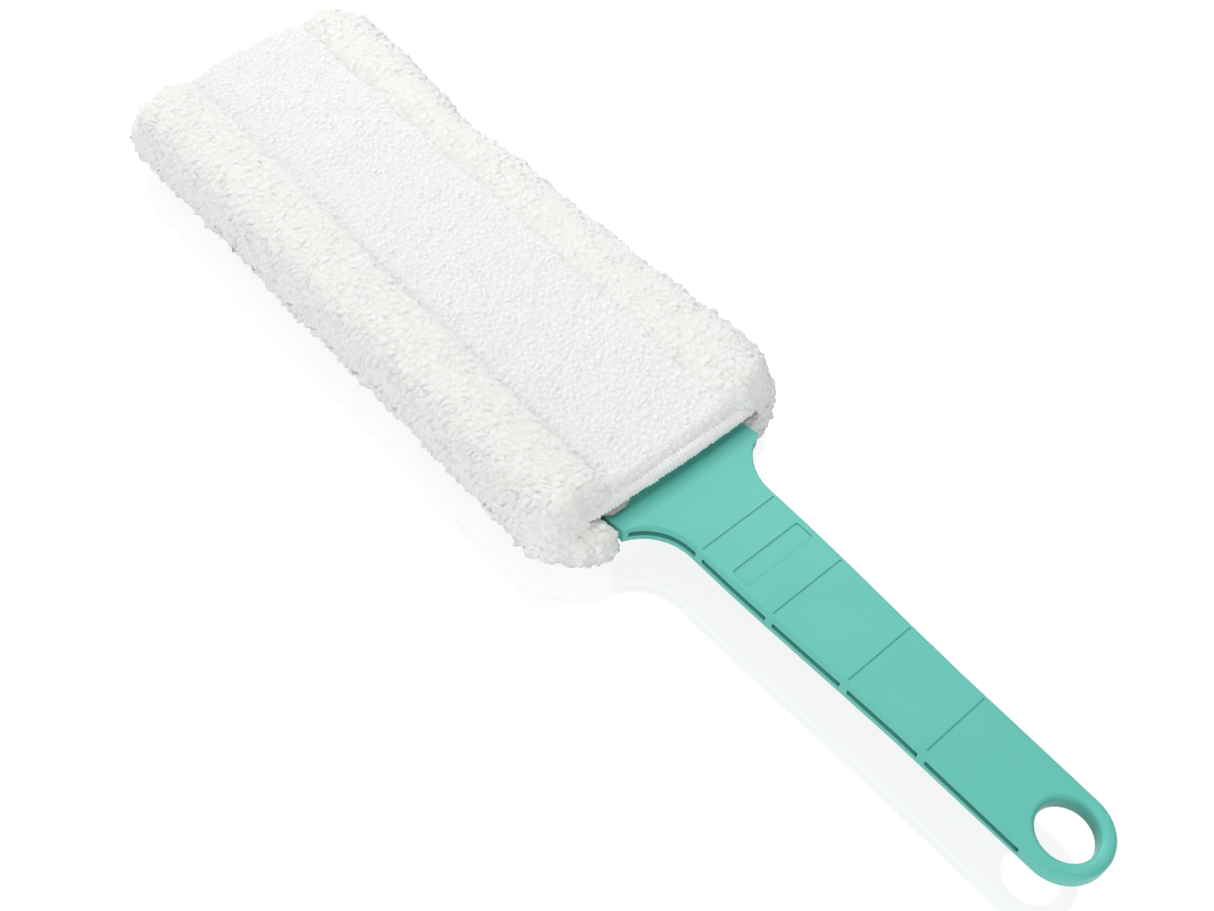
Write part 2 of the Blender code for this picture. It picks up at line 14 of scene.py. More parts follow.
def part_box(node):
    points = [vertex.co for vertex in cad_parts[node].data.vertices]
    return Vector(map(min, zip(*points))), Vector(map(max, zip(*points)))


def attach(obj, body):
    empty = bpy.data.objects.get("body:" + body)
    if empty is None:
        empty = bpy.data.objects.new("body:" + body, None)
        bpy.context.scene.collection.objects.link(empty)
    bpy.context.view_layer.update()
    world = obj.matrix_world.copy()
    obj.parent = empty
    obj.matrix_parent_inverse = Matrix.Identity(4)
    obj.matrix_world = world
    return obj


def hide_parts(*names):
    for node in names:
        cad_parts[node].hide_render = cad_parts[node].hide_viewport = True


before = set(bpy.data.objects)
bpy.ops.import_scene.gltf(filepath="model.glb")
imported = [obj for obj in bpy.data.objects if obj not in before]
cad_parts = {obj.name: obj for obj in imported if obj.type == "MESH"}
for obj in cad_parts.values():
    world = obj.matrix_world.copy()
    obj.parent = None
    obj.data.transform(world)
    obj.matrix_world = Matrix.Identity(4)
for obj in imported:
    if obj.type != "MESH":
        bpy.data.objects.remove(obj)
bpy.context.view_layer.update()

# Camera, from the photograph's view
IMAGE_WIDTH = 1214
FOCAL_PIXELS = 1527.86
SENSOR_WIDTH = 36.0
CAMERA_PLACE = (0.30343, -0.32095, 0.58233)
CAMERA_RIGHT = (0.664883, 0.743087, 0.075842)
CAMERA_UP = (-0.633119, 0.506771, 0.585101)

# The sleeve's main places, from the frame
PANEL_LOW, PANEL_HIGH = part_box("top_panel")
ROLL_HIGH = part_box("right_pile_strip")[1]
UNDER_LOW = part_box("bottom_pile_panel")[0]
POCKET_LOW, POCKET_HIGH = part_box("pocket_lining")
SEAM_LOW, SEAM_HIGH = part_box("edge_seam")
UPPER_HEM_LOW, UPPER_HEM_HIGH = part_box("upper_mouth_hem")
CREASE_LOW, CREASE_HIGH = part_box("right_panel_seam")

TIP_X = PANEL_LOW.x
MOUTH_X = PANEL_HIGH.x
SEAM_Z = (SEAM_LOW.z + SEAM_HIGH.z) / 2
CREASE_Y = (CREASE_LOW.y + CREASE_HIGH.y) / 2
SIDE_Y = ROLL_HIGH.y

# The sleeve's section
ROLL_HALF_WIDTH = 0.0269
ROLL_CENTRE_Y = SIDE_Y - ROLL_HALF_WIDTH
ROLL_POWER = 2.3  # of the rolls' oval, where 2 makes an ellipse
ROLL_INSET = 0.0012  # how much lower the cloth lies than the rolls' pile
LEFT_CREASE = (0.0016, 0.0050)  # (depth, reach): how the rolls fall away to their creases
RIGHT_CREASE = (0.0034, 0.0110)
CREASE_WALL = 0.0040  # how deep a pile's side goes down into the crease
CREASE_LAP = 0.0008  # how far the piles on both sides of a crease run into it
PANEL_EDGE_RISE = 0.0152  # over the sewn edge
PANEL_HOLLOW = 0.0018  # how much lower the panel is at its middle
LAYER_GAP = 0.0007  # from the sewn edge to the pile over it, and to the pile under it
CLOTH_GAP = 0.0003  # between a pile's back and what it lies on
SIDE_LIP = 0.0015  # how far a roll's pile hangs down over the sewn edge
LIP_THICKNESS = 0.0012
SIDE_INSET = 0.0001  # how far the lower pile's side lies inside the upper one's
# How far the right side stands out at places along it: (x, y)
RIGHT_SIDE_SWELL = (
    (-0.290, 0.0), (-0.225, -0.0035), (-0.170, -0.0105), (-0.120, -0.0040), (-0.066, -0.0030),
    (-0.021, 0.0), (0.020, 0.0035), (0.037, 0.0020), (0.050, 0.0),
)
SWELL_START_Y = 0.042

# The sleeve's far end
PANEL_ARCH = 0.0055  # how far the panel's end lies back at PANEL_ARCH_HALF from the arch's middle
PANEL_ARCH_HALF = 0.040
PANEL_ARCH_MIDDLE = 0.012
TIP_ROUND = 0.012
TIP_END = math.acos(0.03)  # how far round the tip a pile goes before a flat face closes it
TIP_NOTCH_Y = 0.050
# (setback, at the crease, at the corner): how far a roll's end lies back, and how much more at its two sides
LEFT_ROLL_TIP = (0.0080, 0.0100, 0.0215)
RIGHT_ROLL_TIP = (0.0045, 0.0030, 0.029)
SEAM_TIP_ARCH = 0.006
SEAM_TIP_CORNER = 0.024

# The sleeve's mouth. A pile's end is a nose, which turns from its foot through its widest place to its top.
# The lower pile's foot is its top edge
NOSE_LEAST = 0.0004
# (share, least, most): how far a nose curls back from its widest place to its foot, and to its top
UPPER_CURLS = ((0.0, 0.0, 0.0), (1.4, 0.0055, 0.014))
UNDER_CURLS = ((0.8, 0.0004, 0.008), (0.8, 0.0004, 0.015))
UPPER_WIDEST_SHARE = 0.0  # where a nose is widest, as a share of its height from its foot
UNDER_WIDEST_SHARE = 0.33
NOSE_GROWTH = 0.06 * math.pi  # how far round an upper nose its tufts grow from their foot
NOSE_FOOT_GROWTH = 0.95
CAP_SETBACK = 0.006  # how far behind a roll's front its back starts
PANEL_FRONT = 0.0511
PANEL_FRONT_SETBACK = 0.0016  # at the left end of the hem
PANEL_SETBACK_Y = -0.028
PANEL_SETBACK_REACH = 0.012
PANEL_NOSE_ROWS = 1.3  # how many times closer than the pile's grid the rows of the panel's nose are
# (lead, low, high, turn): how far a front comes forward as the distance from the middle goes from low
# to high, and how far it turns back at the sleeve's corner
LEFT_ROLL_FRONT = (0.0050, 0.049, 0.055, 0.015)
RIGHT_ROLL_FRONT = (0.0036, 0.041, 0.048, 0.022)
RIGHT_UNDER_FRONT = (0.0030, 0.034, 0.045, 0.0170)
ROLL_TURN_Y = 0.056  # where the rolls' fronts start to turn back
UNDER_TURN_Y = 0.0445
MOUTH_FOOT = UPPER_HEM_HIGH.z - 0.0014
FOOT_START_Y = 0.0470  # from here to the next the rolls come down past the hem's ends
FOOT_END_Y = 0.0555
LEFT_FOOT_DROP = 0.0045  # how far the left roll hangs down over the lower pile
LEFT_DROP_START_Y = 0.052
LEFT_DROP_END_Y = 0.059
LOW_FOOT = SEAM_Z + LAYER_GAP
INNER_CREEP = 0.0002  # keeps the rows of a pile's back apart while its front goes round the nose
UNDER_FRONT = 0.0560
# The lower pile's front at the left: (distance from the middle, x)
LEFT_UNDER_FRONT = (
    (0.034, 0.0560), (0.0415, 0.0605), (0.0445, 0.0655), (0.048, 0.0668), (0.053, 0.0640),
    (0.060, 0.0600), (0.0645, 0.0530), (0.070, 0.0505), (0.0746, 0.0440),
)
UNDER_LEAD_X = 0.0515  # where the lower pile's top edge starts, under the hem
UNDER_LEAD_LENGTH = 0.008
UNDER_NOSE_LENGTH = 0.040
UNDER_FOOT = 0.0140  # its height under the hem
UNDER_WALL_Y = 0.0425  # beside the blade it rises from here
UNDER_WALL_WIDTH = 0.0032
UNDER_HEAP = 0.0066  # how much higher it stands at the left
HEAP_END_START_Y = 0.060  # from here to the next the heap ends
HEAP_END_Y = 0.070
UNDER_FLAT_Y = 0.030  # out to here the underside is flat, and its grid is coarse
HEM_DROOP = 0.0010  # at its ends
HEM_DROOP_REACH = 0.009
HEM_TURN_REACH = 0.007  # how far from its ends a hem turns in
HEM_BOW = 0.0012  # how much further back its ends are than its middle
HEM_TILT = 0.0011  # how much further forward its right end is, and further back its left one
HEM_SETBACK = 0.0008
HEM_BOW_ROOM = 0.0022  # of the solid's depth, for the bow and the tilt
HEM_RIB_ROOM = (0.0003, 0.0002)  # of its half depth and half height, for the stitches' ribs
HEM_HALF_LENGTH = UPPER_HEM_HIGH.y
UPPER_HEM_ENDS = (-0.0535, 0.0515)
LOWER_HEM_ENDS = (-0.0440, 0.0440)

# Pile
LONG_PILE_GRID = 0.00048
SHORT_PILE_GRID = 0.00056
UNDER_PILE_GRID = 0.00072
UNDER_ROW_SHARE = 1.1  # the lower pile's rows are this much wider apart than its grid
UNDER_NEAR_SHARE = 1.3  # and so are its columns between its side and its flat middle
FLOOR_PILE_GRID = 0.0019
LEAST_Z = 0.0002  # over the floor
# layers are (spacing, height, lean, power) of the tufts; a power of 1 makes a point and 2 a dome.
# swells are (scale, height) of the cloth's own waves. droop is how much the tufts hang, beside their lean.
# A tuft is least to most of its layer's height, and mostly the least where uneven is over 1.
# soft is how much the shading follows the smooth form under the tufts, and salt is the seed of its numbers
Pile = collections.namedtuple("Pile", "layers swells droop least most uneven soft salt")
ROLL_PILE = Pile(
    layers=((0.0040, 0.0011, 0.0004, 1.3), (0.0022, 0.0005, 0.0002, 1.3), (0.0011, 0.0002, 0.0001, 1.2)),
    swells=((0.022, 0.0010), (0.009, 0.0005)),
    droop=0.25, least=0.75, most=1.35, uneven=1.2, soft=0.88, salt=100,
)
UNDER_PILE = Pile(
    layers=((0.0042, 0.0026, 0.0006, 1.2), (0.0022, 0.0010, 0.0003, 1.2), (0.0012, 0.0004, 0.0001, 1.2)),
    swells=((0.022, 0.0010), (0.009, 0.0006)),
    droop=0.25, least=0.45, most=1.50, uneven=1.5, soft=0.72, salt=100,
)
PANEL_PILE = Pile(
    layers=((0.0030, 0.0009, 0.0004, 1.6), (0.0017, 0.0003, 0.0002, 1.4), (0.0010, 0.00010, 0.0, 1.3)),
    swells=((0.020, 0.0006), (0.008, 0.0002)),
    droop=0.2, least=0.65, most=1.2, uneven=1.0, soft=0.62, salt=500,
)
SIDE_GROWTH = 2.0  # how much higher the rolls' tufts stand at the sleeve's sides than on top
SIDE_GROWTH_START = 0.058
NOSE_SHARPNESS = 0.5  # how much less soft the shading is at the foot of a nose
SOFT_REACH = 0.0035  # how far the shading is evened out across the cloth
CREASE_GROWTH = 1.05  # the height of the tufts down in a crease, as a share of their height elsewhere
CREASE_FADE = 0.0040
WANDER_SCALE = 2.2  # in a layer's spacings: how the tufts' outlines bend
WANDER = 0.3
SWELL_SHARE = 0.25  # how much of the way that a point has moved counts in where its tuft is
LEFT_EDGE_DROP = 0.0022  # how far the panel's left edge sinks into its crease
LEFT_EDGE_REACH = 0.0065

# Overlocked edges
# A stitch is (pitch, rib height, slant, purl height)
HEM_STITCH = (0.0019, 0.00048, 0.1, 0.0003)
CREASE_STITCH = (0.0028, 0.0002, 0.1, 0.0)
EDGE_STITCH = (0.0026, 0.0001, 0.6, 0.0)
HEM_STEP = 0.00015
CREASE_STEP = 0.0004
EDGE_STEP = 0.0007
HEM_SIDES = 52
CREASE_SIDES = 10
EDGE_SIDES = 16
EDGE_WIDTH = 0.006
EDGE_HALF_THICKNESS = 0.0004
EDGE_MARGIN = 0.001  # from the overlocked edge to the sleeve's side
EDGE_TURN_GAP = 0.02  # the straight part stops this share of the turn before it
RIB_WANDER = 0.45  # in pitches
RIB_WANDER_SCALE = 3.1
RIB_POWER = 0.55  # a smaller power makes the ribs fuller
RIB_LEAST, RIB_SPREAD = 0.5, 0.9
RIB_SINK = 0.6  # how much of a rib's height lies under the cord's own size
PURL_ANGLE = math.tau - 0.45
PURL_WIDTH = 0.35
PURL_LEAST = 0.3
GROOVE_ANGLE = 0.62  # past the purl
GROOVE_WIDTH = 0.2
GROOVE_DEPTH = 0.5
CORD_END = 0.03  # how near its end a cord's rounding stops
FUZZ = ((0.30, 0.0012, 1), (0.22, 0.0005, 3))  # (share of the rib's height, scale, salt)

# The pocket
LINING_THICKNESS = 0.0006
LINING_PLACES = 130
LINING_SIDES = 144
POCKET_SIDE_POWER = 0.16  # of its section, where 1 makes an ellipse and 0 a box
POCKET_FLAT_POWER = 0.4
POCKET_MOUTH = 0.010  # how long its opened mouth is
POCKET_LIFT_UP, POCKET_LIFT_DOWN = 0.0013, 0.0006
POCKET_TIP = 0.004
POCKET_TIP_SHARE, POCKET_TIP_GROWTH = 0.55, 0.45  # of its height, at the tip and from there to the rest
WRINKLE, WRINKLE_SCALE, WRINKLE_PLACE = 0.0001, 0.009, 0.3
# The strip of it that shows under the upper hem, wider at the left
STRIP_START = 0.006
STRIP_WIDTH = 0.0014
STRIP_LEFT_WIDTH = 0.0038
STRIP_LEFT_Y = -0.022
STRIP_LEFT_REACH = 0.012
STRIP_POWER = 3
RAGGED, RAGGED_SCALE = 0.0005, 0.0022

# Colours. A pile's are (between its tufts, at their tips), where the darker, greener one between the tufts is
# painted shade; the others run from one to the other
LONG_PILE_PAINTED_SHADE_COLOURS = ((0.895, 0.900, 0.866), (0.955, 0.956, 0.938))
SHORT_PILE_PAINTED_SHADE_COLOURS = ((0.855, 0.855, 0.848), (0.928, 0.928, 0.923))
THREAD_COLOURS = ((0.86, 0.86, 0.85), (0.95, 0.95, 0.94))
LINING_COLOURS = ((0.50, 0.49, 0.46), (0.66, 0.65, 0.62))
PLASTIC_COLOURS = ((0.130, 0.570, 0.485), (0.140, 0.590, 0.505))
# Painted shade: the plastic's colour goes towards this deep green where its own ambient occlusion finds
# slots, recesses and the hole
PAINTED_RECESS_SHADE_COLOUR = (0.004, 0.110, 0.080)
RECESS_SHADE_REACH = 0.040
FLOOR_COLOUR = (0.62, 0.62, 0.62)
FLOOR_WHITE_SHARE = 0.90  # how much of the floor that the camera sees is plain white
FLOOR_WHITE = 1.10
FLOOR_MIRROR = 0.12
FLOOR_HALF_SIZE = 6.0
WORLD_LIGHT = 0.46


def smooth_step(share):
    share = np.clip(share, 0.0, 1.0)
    return share * share * (3 - 2 * share)


def cell_random(cells, salt):
    """A number from 0 to 1 for each whole-numbered cell, the same on every run."""
    x, y, z = (cells[:, axis].astype(np.int64) for axis in range(3))
    mixed = (x * 73856093) ^ (y * 19349663) ^ (z * 83492791) ^ (salt * 2654435761)
    mixed = (mixed ^ (mixed >> 13)) & 0xFFFFFFFF
    mixed = (mixed * 1274126177) & 0xFFFFFFFF
    mixed = mixed ^ (mixed >> 16)
    return (mixed & 0xFFFFFF) / float(0x1000000)


def smooth_noise(points, scale, salt):
    """Smooth noise from -1 to 1 whose lumps are about one scale apart."""
    scaled = points / scale
    base = np.floor(scaled).astype(np.int64)
    part = scaled - base
    part = part * part * (3 - 2 * part)
    total = np.zeros(len(points))
    for corner in itertools.product((0, 1), repeat=3):
        weight = np.ones(len(points))
        for axis in range(3):
            weight *= part[:, axis] if corner[axis] else 1 - part[:, axis]
        total += weight * cell_random(base + np.array(corner), salt)
    return 2 * total - 1


def tufts(points, spacing, salt):
    """How near each point is to the edge of its tuft, 0 at the middle to 1, and the tuft's cell."""
    scaled = points / spacing
    base = np.floor(scaled).astype(np.int64)
    nearest = np.full(len(points), np.inf)
    second = np.full(len(points), np.inf)
    owner = np.zeros_like(base)
    for step in itertools.product((-1, 0, 1), repeat=3):
        cells = base + np.array(step)
        roots = cells + np.stack([cell_random(cells, salt + axis) for axis in range(3)], axis=1)
        away = np.linalg.norm(scaled - roots, axis=1)
        closer = away < nearest
        second = np.where(closer, nearest, np.minimum(second, away))
        owner[closer] = cells[closer]
        nearest = np.where(closer, away, nearest)
    return nearest / second, owner


def grid_normals(grid):
    """Unit normals of a grid of points, from its own rows and columns."""
    along = np.gradient(grid, axis=0)
    across = np.gradient(grid, axis=1)
    normals = np.cross(along, across)
    lengths = np.linalg.norm(normals, axis=2, keepdims=True)
    return normals / np.maximum(lengths, 1e-12)


def evened(normals, reach):
    """Normals averaged over as many columns on both sides as reach says."""
    padded = np.pad(normals, ((0, 0), (reach, reach), (0, 0)), mode="edge")
    total = np.cumsum(padded, axis=1)
    before = np.concatenate([np.zeros_like(total[:, :1]), total[:, : -(2 * reach + 1)]], axis=1)
    mean = total[:, 2 * reach :] - before
    return mean / np.maximum(np.linalg.norm(mean, axis=2, keepdims=True), 1e-9)


def pile(grid, outward_sign, kind, step, growth, nose):
    """The grid's points moved out into tufts, how far each stands out, and its normal for shading.

    growth is each point's share of the tufts' full height, step is the grid's spacing,
    and nose is from 1 at the foot of a nose to 0 at its top.
    """
    shape = grid.shape
    flat = grid.reshape(-1, 3)
    normals = outward_sign * grid_normals(grid).reshape(-1, 3)
    reach = (growth + np.zeros(shape[:2])).ravel()
    moved = flat.copy()
    for number, (scale, height) in enumerate(kind.swells):
        moved += normals * (height * reach * smooth_noise(flat, scale, kind.salt + number))[:, None]
    depth = np.zeros(len(flat))
    whole = sum(height for _, height, _, _ in kind.layers)
    for number, (spacing, height, lean, power) in enumerate(kind.layers):
        seed = kind.salt + 10 * (number + 1)
        bend = [smooth_noise(flat, WANDER_SCALE * spacing, seed + axis) for axis in (7, 8, 9)]
        wander = np.stack(bend, axis=1)
        swollen = flat + SWELL_SHARE * (moved - flat)
        edge, owner = tufts(swollen + WANDER * spacing * wander, spacing, seed)
        bulge = (1 - edge**power) * reach
        tall = kind.least + (kind.most - kind.least) * cell_random(owner, seed + 5) ** kind.uneven
        way = np.stack([cell_random(owner, seed + 6 + axis) for axis in range(3)], axis=1) - 0.5
        way[:, 2] -= kind.droop
        way -= normals * (way * normals).sum(axis=1, keepdims=True)
        rise = height * tall * bulge
        moved = moved + normals * rise[:, None] + way * (2 * lean * bulge * tall)[:, None]
        depth += rise / whole
    moved = moved.reshape(shape)
    fine = outward_sign * grid_normals(moved)
    smooth = evened(normals.reshape(shape), int(SOFT_REACH / step))
    soft = (kind.soft * (1 - NOSE_SHARPNESS * nose))[:, :, None]
    shading = soft * smooth + (1 - soft) * fine
    shading /= np.maximum(np.linalg.norm(shading, axis=2, keepdims=True), 1e-9)
    return moved, np.clip(depth, 0, 1).reshape(shape[:2]), shading


def closed_piece(name, outer, inner, depth, shading=None):
    """A closed mesh: a dense outer grid and a plain inner one, as a tube round X with a face at each end.

    Rows run along X. The inner grid's columns go on from the outer's last column back to its first.
    """
    rows = outer.shape[0]
    grid = np.concatenate([outer, inner], axis=1)
    columns = grid.shape[1]
    index = np.arange(rows * columns).reshape(rows, columns)
    follow = np.roll(index, -1, axis=1)
    quads = np.stack([index[:-1], index[1:], follow[1:], follow[:-1]], axis=2).reshape(-1, 4)
    faces = [tuple(quad) for quad in quads.tolist()]
    faces.append(tuple(index[0].tolist()))
    faces.append(tuple(index[-1][::-1].tolist()))
    mesh = bpy.data.meshes.new(name)
    mesh.from_pydata(grid.reshape(-1, 3).tolist(), [], faces)
    # pile_depth is how far each point stands out; the pile material paints shade between the tufts from it
    shown = np.zeros((rows, columns), np.float32)
    shown[:, : outer.shape[1]] = depth
    layer = mesh.attributes.new("pile_depth", "FLOAT", "POINT")
    layer.data.foreach_set("value", shown.ravel())
    add_grid_map(mesh, rows, columns)
    mark_border(mesh, rows, columns, outer.shape[1])
    mesh.shade_smooth()
    piece = bpy.data.objects.new(name, mesh)
    bpy.context.scene.collection.objects.link(piece)
    turn_outward(mesh)
    if shading is not None:
        normals = np.zeros((rows, columns, 3))
        normals[:, : outer.shape[1]] = shading
        mesh.normals_split_custom_set_from_vertices(normals.reshape(-1, 3).tolist())
    return piece


def add_grid_map(mesh, rows, columns):
    """A map that lays the tube's grid out flat, with the two end faces in its margin."""
    corner_points = np.zeros(len(mesh.loops), np.int32)
    mesh.loops.foreach_get("vertex_index", corner_points)
    row, column = corner_points // columns, corner_points % columns
    first_corner = np.zeros(len(mesh.polygons), np.int32)
    sizes = np.zeros(len(mesh.polygons), np.int32)
    mesh.polygons.foreach_get("loop_start", first_corner)
    mesh.polygons.foreach_get("loop_total", sizes)
    face = np.repeat(np.arange(len(sizes)), sizes)
    wraps = np.maximum.reduceat(column, first_corner)[face] == columns - 1
    wraps &= np.minimum.reduceat(column, first_corner)[face] == 0
    across = np.where(wraps & (column == 0), columns, column) / columns
    spots = np.stack([0.01 + 0.98 * row / (rows - 1), 0.01 + 0.98 * across], axis=1)
    layer = mesh.uv_layers.new(name="OFBake")
    layer.uv.foreach_set("vector", spots.astype(np.float32).ravel())


def mark_border(mesh, rows, columns, outer_columns):
    """Sharp edges where the outer surface meets the cloth's back and its two ends."""
    ends = np.zeros(len(mesh.edges) * 2, np.int32)
    mesh.edges.foreach_get("vertices", ends)
    row, column = ends.reshape(-1, 2) // columns, ends.reshape(-1, 2) % columns
    at_end = (row[:, 0] == row[:, 1]) & ((row[:, 0] == 0) | (row[:, 0] == rows - 1))
    at_side = column[:, 0] == column[:, 1]
    at_side &= (column[:, 0] == 0) | (column[:, 0] == outer_columns - 1)
    layer = mesh.attributes.new("sharp_edge", "BOOLEAN", "EDGE")
    layer.data.foreach_set("value", at_end | at_side)


def turn_outward(mesh):
    """Flips a closed mesh whose faces point in."""
    points = np.zeros(len(mesh.vertices) * 3)
    mesh.vertices.foreach_get("co", points)
    points = points.reshape(-1, 3)
    mesh.calc_loop_triangles()
    corners = np.zeros(len(mesh.loop_triangles) * 3, np.int32)
    mesh.loop_triangles.foreach_get("vertices", corners)
    a, b, c = (points[corners.reshape(-1, 3)[:, i]] for i in range(3))
    if np.einsum("ij,ij->", a, np.cross(b, c)) < 0:
        mesh.flip_normals()


def rounded(share):
    """How far a quarter circle falls away, from 0 to 1, as share goes from 0 to 1."""
    share = np.clip(share, 0.0, 1.0)
    return 1 - np.sqrt(1 - share * share)


def between(y, low, high):
    """From 0 to 1 as a place's distance from the middle goes from low to high."""
    return smooth_step((np.abs(y) - low) / (high - low))


def panel_front(y):
    return PANEL_FRONT - PANEL_FRONT_SETBACK * smooth_step((PANEL_SETBACK_Y - y) / PANEL_SETBACK_REACH)


def turned_front(y, middle, front, turn_y):
    """A front line that comes forward from its middle's x, and turns back at the sleeve's corner."""
    lead, low, high, turn = front
    return middle + lead * between(y, low, high) - turn * rounded((np.abs(y) - turn_y) / (SIDE_Y - turn_y))


def roll_front(y):
    """The rolls come further forward past the hem's ends, and then turn back round the corners."""
    left = turned_front(y, PANEL_FRONT, LEFT_ROLL_FRONT, ROLL_TURN_Y)
    right = turned_front(y, PANEL_FRONT, RIGHT_ROLL_FRONT, ROLL_TURN_Y)
    return np.where(y < 0, left, right)


def under_front(y):
    """The lower pile's front: low under the hem, and full at both corners, most at the left."""
    left = np.interp(np.abs(y), *zip(*LEFT_UNDER_FRONT))
    right = turned_front(y, UNDER_FRONT, RIGHT_UNDER_FRONT, UNDER_TURN_Y)
    return np.where(y < 0, left, right)


def panel_tip(y):
    return TIP_X + PANEL_ARCH * ((y - PANEL_ARCH_MIDDLE) / PANEL_ARCH_HALF) ** 2


def roll_tip(y):
    """Each roll's far end, round at its crease and at the sleeve's corner."""
    inner = rounded((TIP_NOTCH_Y - np.abs(y)) / (TIP_NOTCH_Y - CREASE_Y + CREASE_LAP))
    outer = rounded((np.abs(y) - TIP_NOTCH_Y) / (SIDE_Y - TIP_NOTCH_Y))
    left, right = (
        TIP_X + setback + at_crease * inner + at_corner * outer
        for setback, at_crease, at_corner in (LEFT_ROLL_TIP, RIGHT_ROLL_TIP)
    )
    return np.where(y < 0, left, right)


def under_tip(y):
    share = between(y, CREASE_Y, TIP_NOTCH_Y)
    return panel_tip(y) + (roll_tip(y) - panel_tip(y)) * share


def seam_tip(y):
    """The sewn edge at the far end, inside the pile."""
    arch = SEAM_TIP_ARCH * np.minimum(np.abs(y) / ROLL_CENTRE_Y, 1.0) ** 2
    return TIP_X + arch + SEAM_TIP_CORNER * rounded((np.abs(y) - ROLL_CENTRE_Y) / ROLL_HALF_WIDTH)


def quarter_length(first, second):
    """About the length of a quarter of an ellipse."""
    return 0.5 * math.pi * math.sqrt((first**2 + second**2) / 2)


def spread(points, step):
    """Points along a line of (y, z), one about every step."""
    points = np.array(points)
    lengths = np.linalg.norm(np.diff(points, axis=0), axis=1)
    travelled = np.concatenate([[0.0], np.cumsum(lengths)])
    count = max(int(round(travelled[-1] / step)), 1) + 1
    wanted = np.linspace(0.0, travelled[-1], count)
    return np.stack([np.interp(wanted, travelled, points[:, i]) for i in range(2)], axis=1)


def row_plan(step, nose_start, nose_length, lead=0.0):
    """Rows from the mouth to the tip: how far each is through its lead, nose, body and tip."""
    rows = [(share, 0.0, 0.0, 0.0) for share in np.arange(0, 1, step / lead)] if lead else []
    rows += [(1.0, angle, 0.0, 0.0) for angle in np.linspace(nose_start, math.pi, int(nose_length / step))]
    body = MOUTH_X - TIP_X - TIP_ROUND
    rows += [(1.0, math.pi, share, 0.0) for share in np.linspace(0, 1, int(body / step))[1:]]
    turn = step / TIP_ROUND
    rows += [(1.0, math.pi, 1.0, angle) for angle in np.arange(turn, TIP_END, turn)]
    return np.array(rows)


def growth_of(rows):
    """The tufts' growth: over half of the lower pile's lead, or over the first part of an upper nose."""
    if rows[0, 0] < 1:
        return smooth_step(2 * rows[:, 0])[:, None]
    grown = smooth_step((rows[:, 1] - math.pi / 2) / NOSE_GROWTH)
    return (NOSE_FOOT_GROWTH + (1 - NOSE_FOOT_GROWTH) * grown)[:, None]


def nose_share(rows):
    return np.clip((math.pi - rows[:, 1]) / (math.pi / 2), 0, 1)[:, None]


def crease_growth(section, sides):
    """How the tufts shrink down in the creases at the first or at both ends of a section of (y, z)."""
    lengths = np.linalg.norm(np.diff(section, axis=0), axis=1)
    travelled = np.concatenate([[0.0], np.cumsum(lengths)])
    away = travelled if sides == 1 else np.minimum(travelled, travelled[-1] - travelled)
    return (CREASE_GROWTH + (1 - CREASE_GROWTH) * smooth_step(away / CREASE_FADE))[None]


def lengthwise(section, rows, front, tip, foot, curls, widest, lead_x=None):
    """The outer grid from a section of (y, z): each column runs from the mouth to the tip at its own y."""
    y, top = section[None, :, 0], section[None, :, 1]
    lead, nose, body, end = (rows[:, i : i + 1] for i in range(4))
    low = foot(y, top)
    height = top - low
    foot_curl, top_curl = (np.clip(share * np.abs(height), least, most) for share, least, most in curls)
    foot_x, top_x = front(y) - foot_curl, front(y) - top_curl
    last = tip(y) + TIP_ROUND
    start = foot_x if lead_x is None else np.minimum(lead_x, foot_x - NOSE_LEAST)
    over_top = nose > math.pi / 2
    nose_x = front(y) - np.where(over_top, top_curl, foot_curl) * (1 - np.sin(nose))
    x = np.where(nose > 0, nose_x, start + (foot_x - start) * lead)
    x = x + (last - top_x) * body - TIP_ROUND * np.sin(end)
    z = low + height * np.where(over_top, widest - (1 - widest) * np.cos(nose), widest * (1 - np.cos(nose)))
    z = SEAM_Z + (z - SEAM_Z) * np.cos(end)
    return np.stack([x, y + 0 * x, z], axis=2), start


def inside(section, rows, start, tip, level):
    """The plain inner grid: it stays at the mouth while the outer one goes round its nose."""
    y = section[None, :, 0]
    lead, nose, body, end = (rows[:, i : i + 1] for i in range(4))
    creep = INNER_CREEP * (lead + nose / math.pi)
    x = start - creep * (1 - body) + (tip(y) + TIP_ROUND - start) * body - TIP_ROUND * np.sin(end)
    z = level(x, section[None, :, 1] + 0 * x)
    z = SEAM_Z + (z - SEAM_Z) * np.cos(end)
    return np.stack([x, y + 0 * x, z], axis=2)


def filled_tip(x, z):
    """The upper piles' backs: past the pocket's end they lie down on the lower layer."""
    return np.where(x < POCKET_LOW.x - CLOTH_GAP, LOW_FOOT, z)


def side_swell(grid):
    """The right side drawn in and swelled out along its length."""
    places, amounts = zip(*RIGHT_SIDE_SWELL)
    amount = np.interp(grid[:, :, 0], places, amounts)
    share = smooth_step((grid[:, :, 1] - SWELL_START_Y) / (SIDE_Y - SWELL_START_Y))
    grid[:, :, 1] += amount * share
    return grid


def oval(angles, height):
    """Points (y, z) round a roll's oval, from the seam plane up for a height over 0, or down under it."""
    y = ROLL_CENTRE_Y + ROLL_HALF_WIDTH * np.sign(np.cos(angles)) * np.abs(np.cos(angles)) ** (2 / ROLL_POWER)
    return y, SEAM_Z + height * np.abs(np.sin(angles)) ** (2 / ROLL_POWER)


